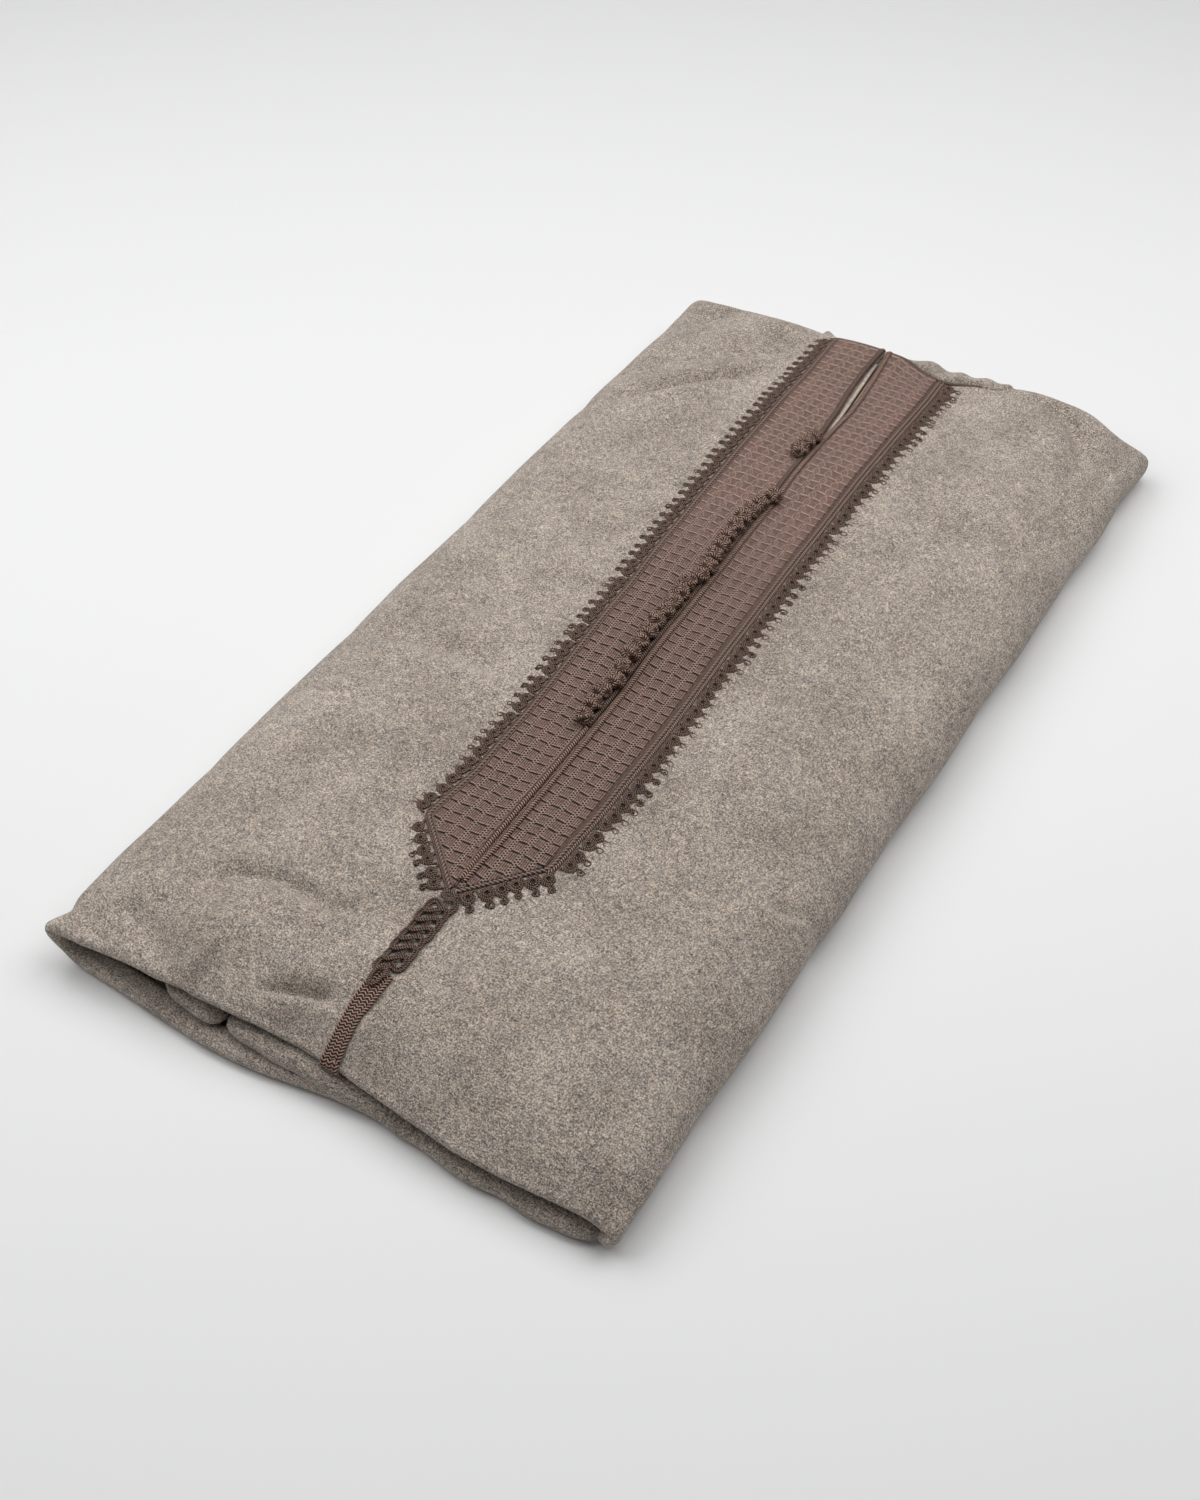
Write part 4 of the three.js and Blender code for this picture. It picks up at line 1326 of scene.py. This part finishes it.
def makePiping(column, side):
    parts = []
    looks = {"smooth": smoothCord, "plied": pipingCord, "dark": darkCord}
    for out, outAtPoint, radius, pitch, look, last in piping[column]:
        parts.append((outerCord(side, column, out, outAtPoint, radius, last), radius, pitch, looks[look]))
    top, bottom = neckY - 1.0, innerCords["y"][0]
    # Above that place the left inner cords are painted darker, for the knots' shade.
    split = innerCords["knotShadeAbove"] if side < 0 else top
    for asides, radius, pitch in innerCords[column]:
        if split < top:
            parts.append((innerCord(side, asides, radius, top, split), radius, pitch, darkCord))
        parts.append((innerCord(side, asides, radius, split, bottom), radius, pitch, pipingCord))
    total = 0
    for k, (line, radius, pitch, material) in enumerate(parts):
        cord = makeCordPiece(
            f"{column}Piping{k + 1}", [line], radius, material,
            piping["spacing"], radius * 0.17, piping["sides"], pitch=pitch,
        )
        finishPiece(cord, "cord")
        total += len(cord.data.polygons)
    print(column, "piping:", total, "faces")


for column, side in sides.items():
    makePiping(column, side)


loops = {
    "left": {
        "pitch": 8.2, "ringAt": 8.9, "inner": 1.6, "outer": 2.95, "curlAt": 15.2, "curl": 1.4,
        "start": 4.6, "pointShift": 0.4, "seed": 11,
    },
    "right": {
        "pitch": 8.2, "ringAt": 10.2, "inner": 1.95, "outer": 3.35, "curlAt": 17.3, "curl": 1.75,
        "start": 6.4, "pointShift": 3.4, "seed": 12,
    },
    "cordRadius": 0.62,
    # the dark cores in the rings and curls are painted shade in their holes
    "coreRadius": 1.5,
    "coreFlatten": 0.3,
    "spacing": 0.9,
    "curlAside": 0.8,
    "sizeSpread": 0.05,
    "turnSpread": 0.1,
}


# One motif in its own plane, x along the edge and y away from it: the cord comes in along the
# edge, winds its ring from the inside out, runs on to a small curl and comes back.
def motifLine(shape):
    inner, outer, ringAt = shape["inner"], shape["outer"], shape["ringAt"]
    half = shape["pitch"] / 2
    points = [(-half, shape["start"], 0), (-half * 0.6, shape["start"] + 0.3, 0.2)]
    turns = np.radians(np.linspace(-130, 210, 15))
    points += [(inner * math.cos(a), ringAt + inner * math.sin(a), 0.55) for a in turns]
    turns = np.radians(np.linspace(250, 800, 22))
    radii = np.interp(np.arange(22), [0, 4], [inner * 1.25, outer])
    points += [(r * math.cos(a), ringAt + r * math.sin(a), 0.35) for a, r in zip(turns, radii)]
    curlX, curlY, curl = loops["curlAside"], shape["curlAt"], shape["curl"]
    points += [(-0.6, (ringAt + outer + curlY - curl) / 2, 0.5)]
    turns = np.radians(np.linspace(200, -100, 11))
    points += [(curlX + curl * math.cos(a), curlY + curl * math.sin(a), 0.2) for a in turns]
    points += [(curlX + 0.4, curlY - curl - 1.4, 0.0), (outer * 0.9, ringAt + outer * 0.9, -0.1)]
    points += [(outer + 0.75, ringAt, -0.15), (outer + 0.6, ringAt - outer * 0.8, -0.15)]
    points += [(half, shape["start"], 0)]
    return smoothLine(np.array(points), 2)


def smoothLine(points, rounds):
    for _ in range(rounds):
        middle = (points[:-1] + points[1:]) / 2
        quarter = np.empty((2 * len(middle), 3))
        quarter[0::2] = 0.75 * points[:-1] + 0.25 * points[1:]
        quarter[1::2] = 0.25 * points[:-1] + 0.75 * points[1:]
        points = np.concatenate([points[:1], quarter[1:-1], points[-1:]])
    return points


def pointsWithFrames(name, places, runs, ups):
    mesh = meshFrom(name, places, [])
    for label, values in (("run", runs), ("up", ups)):
        attribute = mesh.attributes.new(label, "FLOAT_VECTOR", "POINT")
        attribute.data.foreach_set("vector", np.asarray(values, dtype=np.float32).ravel())
    return mesh


def makeLoopTrim(name, column, side):
    shape = loops[column]
    pitch = shape["pitch"]
    line, run, away = outerEdge(column, side, 0.0, 0.5, 0.97)
    line = line - away * (shape["pointShift"] * ease(cornerY + 6, cornerY - 8, line[:, 1]))[:, None]
    lengths = np.concatenate([[0], np.cumsum(np.linalg.norm(np.diff(line, axis=0), axis=1))])
    count = int(lengths[-1] / pitch)
    at = (np.arange(count) + 0.55) * lengths[-1] / count
    x = np.interp(at, lengths, line[:, 0])
    y = np.interp(at, lengths, line[:, 1])
    runX = np.interp(at, lengths, run[:, 0])
    runY = np.interp(at, lengths, run[:, 1])
    lift = halfCloth + loops["cordRadius"] + 0.2
    places = onFront(x, y, lift)
    ahead = onFront(x + runX, y + runY, lift) - places
    ups = outwardAt(x, y)
    motif = motifLine(shape)
    motif[:, 1] *= side
    drawn = makeObject(name + "Motif", linesMesh(name + "Motif", [motif]))
    trim = makeObject(name, pointsWithFrames(name, places, ahead, ups))
    runTree(trim, motifTree, {
        "Motif": drawn, "Seed": shape["seed"],
        "Size Spread": loops["sizeSpread"], "Turn Spread": loops["turnSpread"],
        "Radius": loops["cordRadius"] * mm, "Spacing": loops["spacing"] * mm,
        "Ply Depth": 0.1 * mm, "Ply Pitch": 2.5 * mm, "Sides": 6, "Material": darkCord,
    })
    bpy.data.objects.remove(drawn)
    away = unit(np.cross(ups, ahead) * side)
    # Dark cores go in the middles of the rings and curls: painted shade in their holes.
    rings = places + away * shape["ringAt"]
    curls = places + away * shape["curlAt"] + ahead * loops["curlAside"]
    middles = np.concatenate([rings, curls])
    return trim, makeCores(name + "Cores", middles, loops["coreRadius"], loops["coreFlatten"], shadedCord)


# Small rounded pads inside the rings, curls and knots, one at each place; the dark ones in the loops' rings
# and curls are painted shade in their holes.
def makeCores(name, places, radius, flatten, material):
    rings, sides = 5, 10
    lat = np.linspace(-math.pi / 2, math.pi / 2, rings + 2)[1:-1]
    lon = np.linspace(0, math.tau, sides + 1)[:-1]
    ball = np.stack([
        np.outer(np.cos(lat), np.cos(lon)),
        np.outer(np.cos(lat), np.sin(lon)),
        np.outer(np.sin(lat), np.ones(sides)) * flatten,
    ], axis=-1).reshape(-1, 3) * radius
    faces = gridFaces(rings, sides, wrap=True).tolist()
    faces.append(list(range(sides))[::-1])
    faces.append(list(range((rings - 1) * sides, rings * sides)))
    points = [ball + place for place in places]
    allFaces = [[i + k * len(ball) for i in face] for k in range(len(places)) for face in faces]
    return makeObject(name, meshFrom(name, np.concatenate(points), allFaces, material))


for column, side in sides.items():
    trim, shadePads = makeLoopTrim("loopTrim" + column.title(), column, side)
    finishPiece(trim, "cord", "loop_trim_" + column)
    finishPiece(shadePads, "cord")
    print("loops,", column + ":", len(trim.data.polygons), "faces")


# Places of the knots, as x and y: three beside the slit, then the row.
knotPlaces = [
    (-9.4, 203), (-10.6, 194), (-10.7, 184.5),
    (-2.9, 134.4), (-6.5, 123.6), (-7.6, 114), (-8.4, 105), (-8.0, 95.4), (-9.0, 86), (-7.4, 76.4),
    (-6.6, 66), (-4.7, 55), (-4.8, 45), (-7.7, 35.6), (-6.8, 26), (-6.3, 16.4), (-6.1, 6.6),
    (-6.2, -4), (-5.3, -15.2), (-4.4, -25.4), (-4.5, -36), (-2.4, -47.4), (-1.2, -58.5),
    (-3.6, -69), (-2.1, -81), (0.0, -93),
]
knots = {
    "ballRadius": 4.4,
    "cordRadius": 1.35,
    "flatten": 0.9,
    "spacing": 1.1,
    "coreRadius": 4.75,
    "windings": (3, 4),     # round the ball, and up and down it
    "reachUp": 60,          # degrees from its middle
    "seed": 21,
    "tumble": 0.55,         # how far each leans away from straight up
    "turnSpread": 3.1,
    "sizeSpread": 0.05,
}


def knotLine():
    t = np.linspace(0, math.tau, 97)[:-1]
    longitude = knots["windings"][0] * t
    latitude = math.radians(knots["reachUp"]) * np.sin(knots["windings"][1] * t + 0.3)
    radius = knots["ballRadius"] + 0.42 * np.cos(8 * t + 0.6)
    x = radius * np.cos(latitude) * np.cos(longitude)
    y = radius * np.cos(latitude) * np.sin(longitude)
    z = radius * np.sin(latitude) * knots["flatten"]
    return np.stack([x, y, z], axis=-1)


def makeKnots():
    at = np.array(knotPlaces, dtype=float)
    lift = band["surfaceLift"] + band["thickness"] + knots["ballRadius"] * 0.9 + 0.7
    places = onFront(at[:, 0], at[:, 1], lift)
    rng = np.random.default_rng(knots["seed"])
    ups = outwardAt(at[:, 0], at[:, 1]) + rng.uniform(-knots["tumble"], knots["tumble"], (len(at), 3))
    runs = rng.uniform(-1, 1, (len(at), 3))
    shape = makeObject("knotShape", linesMesh("knotShape", [knotLine()], closed=True))
    balls = makeObject("knottedButtons", pointsWithFrames("knottedButtons", places, runs, ups))
    runTree(balls, motifTree, {
        "Motif": shape, "Seed": 5, "Size Spread": knots["sizeSpread"], "Turn Spread": knots["turnSpread"],
        "Radius": knots["cordRadius"] * mm, "Spacing": knots["spacing"] * mm,
        "Ply Depth": 0.12 * mm, "Ply Pitch": 2.6 * mm, "Sides": 6, "Material": knotCord,
    })
    bpy.data.objects.remove(shape)
    return balls, places


knottedButtons, knotCentres = makeKnots()
finishPiece(knottedButtons, "cord", *[f"button_{k + 1:02d}" for k in range(len(knotPlaces))])
knotCores = makeCores("knotCores", knotCentres, knots["coreRadius"], knots["flatten"], pipingCord)
finishPiece(knotCores, "cord")
print("knots:", len(knottedButtons.data.polygons), "faces")


# Pieces become one mesh with the first one's materials.
def joinPieces(pieces, name):
    with bpy.context.temp_override(active_object=pieces[0], selected_editable_objects=pieces):
        bpy.ops.object.join()
    pieces[0].name = name
    return pieces[0]


# The tail: a coil down from the point, an almond loop, and a braid over the fold.
tail = {
    "coilTop": -238.0,
    "coilEnd": -288.0,
    "coilHalf": 6.4,
    "coilPitch": 7.1,
    "coilLobe": 3.1,
    "cordRadius": 0.75,
    "braidTop": -291.0,
    "braidStrand": 1.0,
    "braidColumns": 6,
    "braidPitch": 3.6,
    "braidGap": 1.9,        # from strand to strand, in strand radii
}


def coilRuns():
    turns = (tail["coilTop"] - tail["coilEnd"]) / tail["coilPitch"]
    phase = np.linspace(0, turns * math.tau, int(turns * 30))
    across = tail["coilHalf"] * np.sin(phase) + 0.5 * np.sin(0.37 * phase + 1)
    fall = tail["coilPitch"] * phase / math.tau
    y = tail["coilTop"] - fall + tail["coilLobe"] * np.sin(2 * phase) + 0.1 * across
    runs = []
    for shift, lift in ((0.8, 0.0), (-0.8, 0.4)):
        line = np.stack([across, y], axis=-1)
        line = line + unit(sideways(np.gradient(line, axis=0))) * shift
        x = lookUp("seam", line[:, 1]) + line[:, 0]
        crossing = 1.3 * np.cos(phase) * (np.cos(phase) > 0)
        runs.append(onFront(x, line[:, 1], band["surfaceLift"] + tail["cordRadius"] + lift + crossing))
    return runs


def ellipseRun(x, y, halfX, halfY, turns, lift, shrink=0.0, lean=0.0):
    a = np.linspace(0, math.tau * turns, int(26 * turns) + 1)
    k = 1 - shrink * a / a[-1]
    dx = halfX * k * np.cos(a)
    dy = halfY * k * np.sin(a)
    c, s = math.cos(lean), math.sin(lean)
    return onFront(x + dx * c - dy * s, y + dx * s + dy * c, band["surfaceLift"] + lift)


def makeTailCoil():
    runs = coilRuns()
    seam = float(lookUp("seam", pointY))
    runs.append(ellipseRun(seam + 0.4, pointY - 5.6, 4.4, 3.0, 2.0, 2.2, 0.5, 0.1))
    seam = float(lookUp("seam", -295))
    runs.append(ellipseRun(seam - 1.3, -294.4, 3.6, 7.6, 2.0, 3.0, 0.4, -0.05))
    return makeCordPiece("tailCoil", runs, tail["cordRadius"], darkCord, 0.8, 0.1, 6)


def makeTailBraid():
    paths = np.concatenate([
        np.arange(tail["braidTop"], turnStart, -1.0),
        np.linspace(turnStart, turnStart - math.pi * parcel["foldRadius"] * 0.9, 8),
    ])
    columns = tail["braidColumns"]
    strands = []
    for k in range(columns):
        aside = (k - (columns - 1) / 2) * tail["braidStrand"] * tail["braidGap"]
        join = ease(tail["braidTop"] - 14, tail["braidTop"], paths) * (0.6 if k in (2, 3) else 0)
        x = lookUp("seam", paths) + aside + 0.5 * join
        lift = band["surfaceLift"] + tail["braidStrand"] * 0.9 - 0.8 * join
        pitch = tail["braidPitch"] if k % 2 else -tail["braidPitch"]
        strands.append(makeCordPiece(
            f"braidStrand{k + 1}", [onFront(x, paths, lift)], tail["braidStrand"], pipingCord,
            0.7, 0.17, 7, pitch=pitch,
        ))
    return joinPieces(strands, "tailBraid")


tailCoil = finishPiece(makeTailCoil(), "cord", "tail_coil")
tailBraid = finishPiece(makeTailBraid(), "braid", "tail_braid")
print("tail:", len(tailCoil.data.polygons) + len(tailBraid.data.polygons), "faces")


neckCord = {
    "radius": 0.85,
    "asides": (0.8, 2.2),   # of the two runs, out from the neck edge
    "lift": 0.7,
    "rise": 1.5,            # more, over the bands
    "ends": (-60.0, 54.0),
}


def makeNeckCord(name, side):
    seam = float(lookUp("seam", neckY))
    start = seam + side * (float(slitGap(neckY)) / 2 + neckCord["radius"])
    end = neckCord["ends"][0 if side < 0 else 1]
    x = np.linspace(start, end, 90)
    slope = frontEnd(x + 0.5) - frontEnd(x - 0.5)
    runs = []
    for k, aside in enumerate(neckCord["asides"]):
        path = frontEnd(x) + aside * np.sqrt(1 + slope**2) + 0.25 * np.sin(x / 6)
        onBand = ease(lookUp("left", path) - 8, lookUp("left", path), x) * ease(46, 28, x)
        line = onFront(x, path, neckCord["lift"] + neckCord["rise"] * onBand - 0.4 * k)
        runs.append(line if k else line[::-1])
    return makeCordPiece(name, runs, neckCord["radius"], darkCord, 0.7, 0.14, 7)


for column, side in sides.items():
    finishPiece(makeNeckCord("neckCord" + column.title(), side), "cord", "neck_cord_" + column)
print("neck cords made")
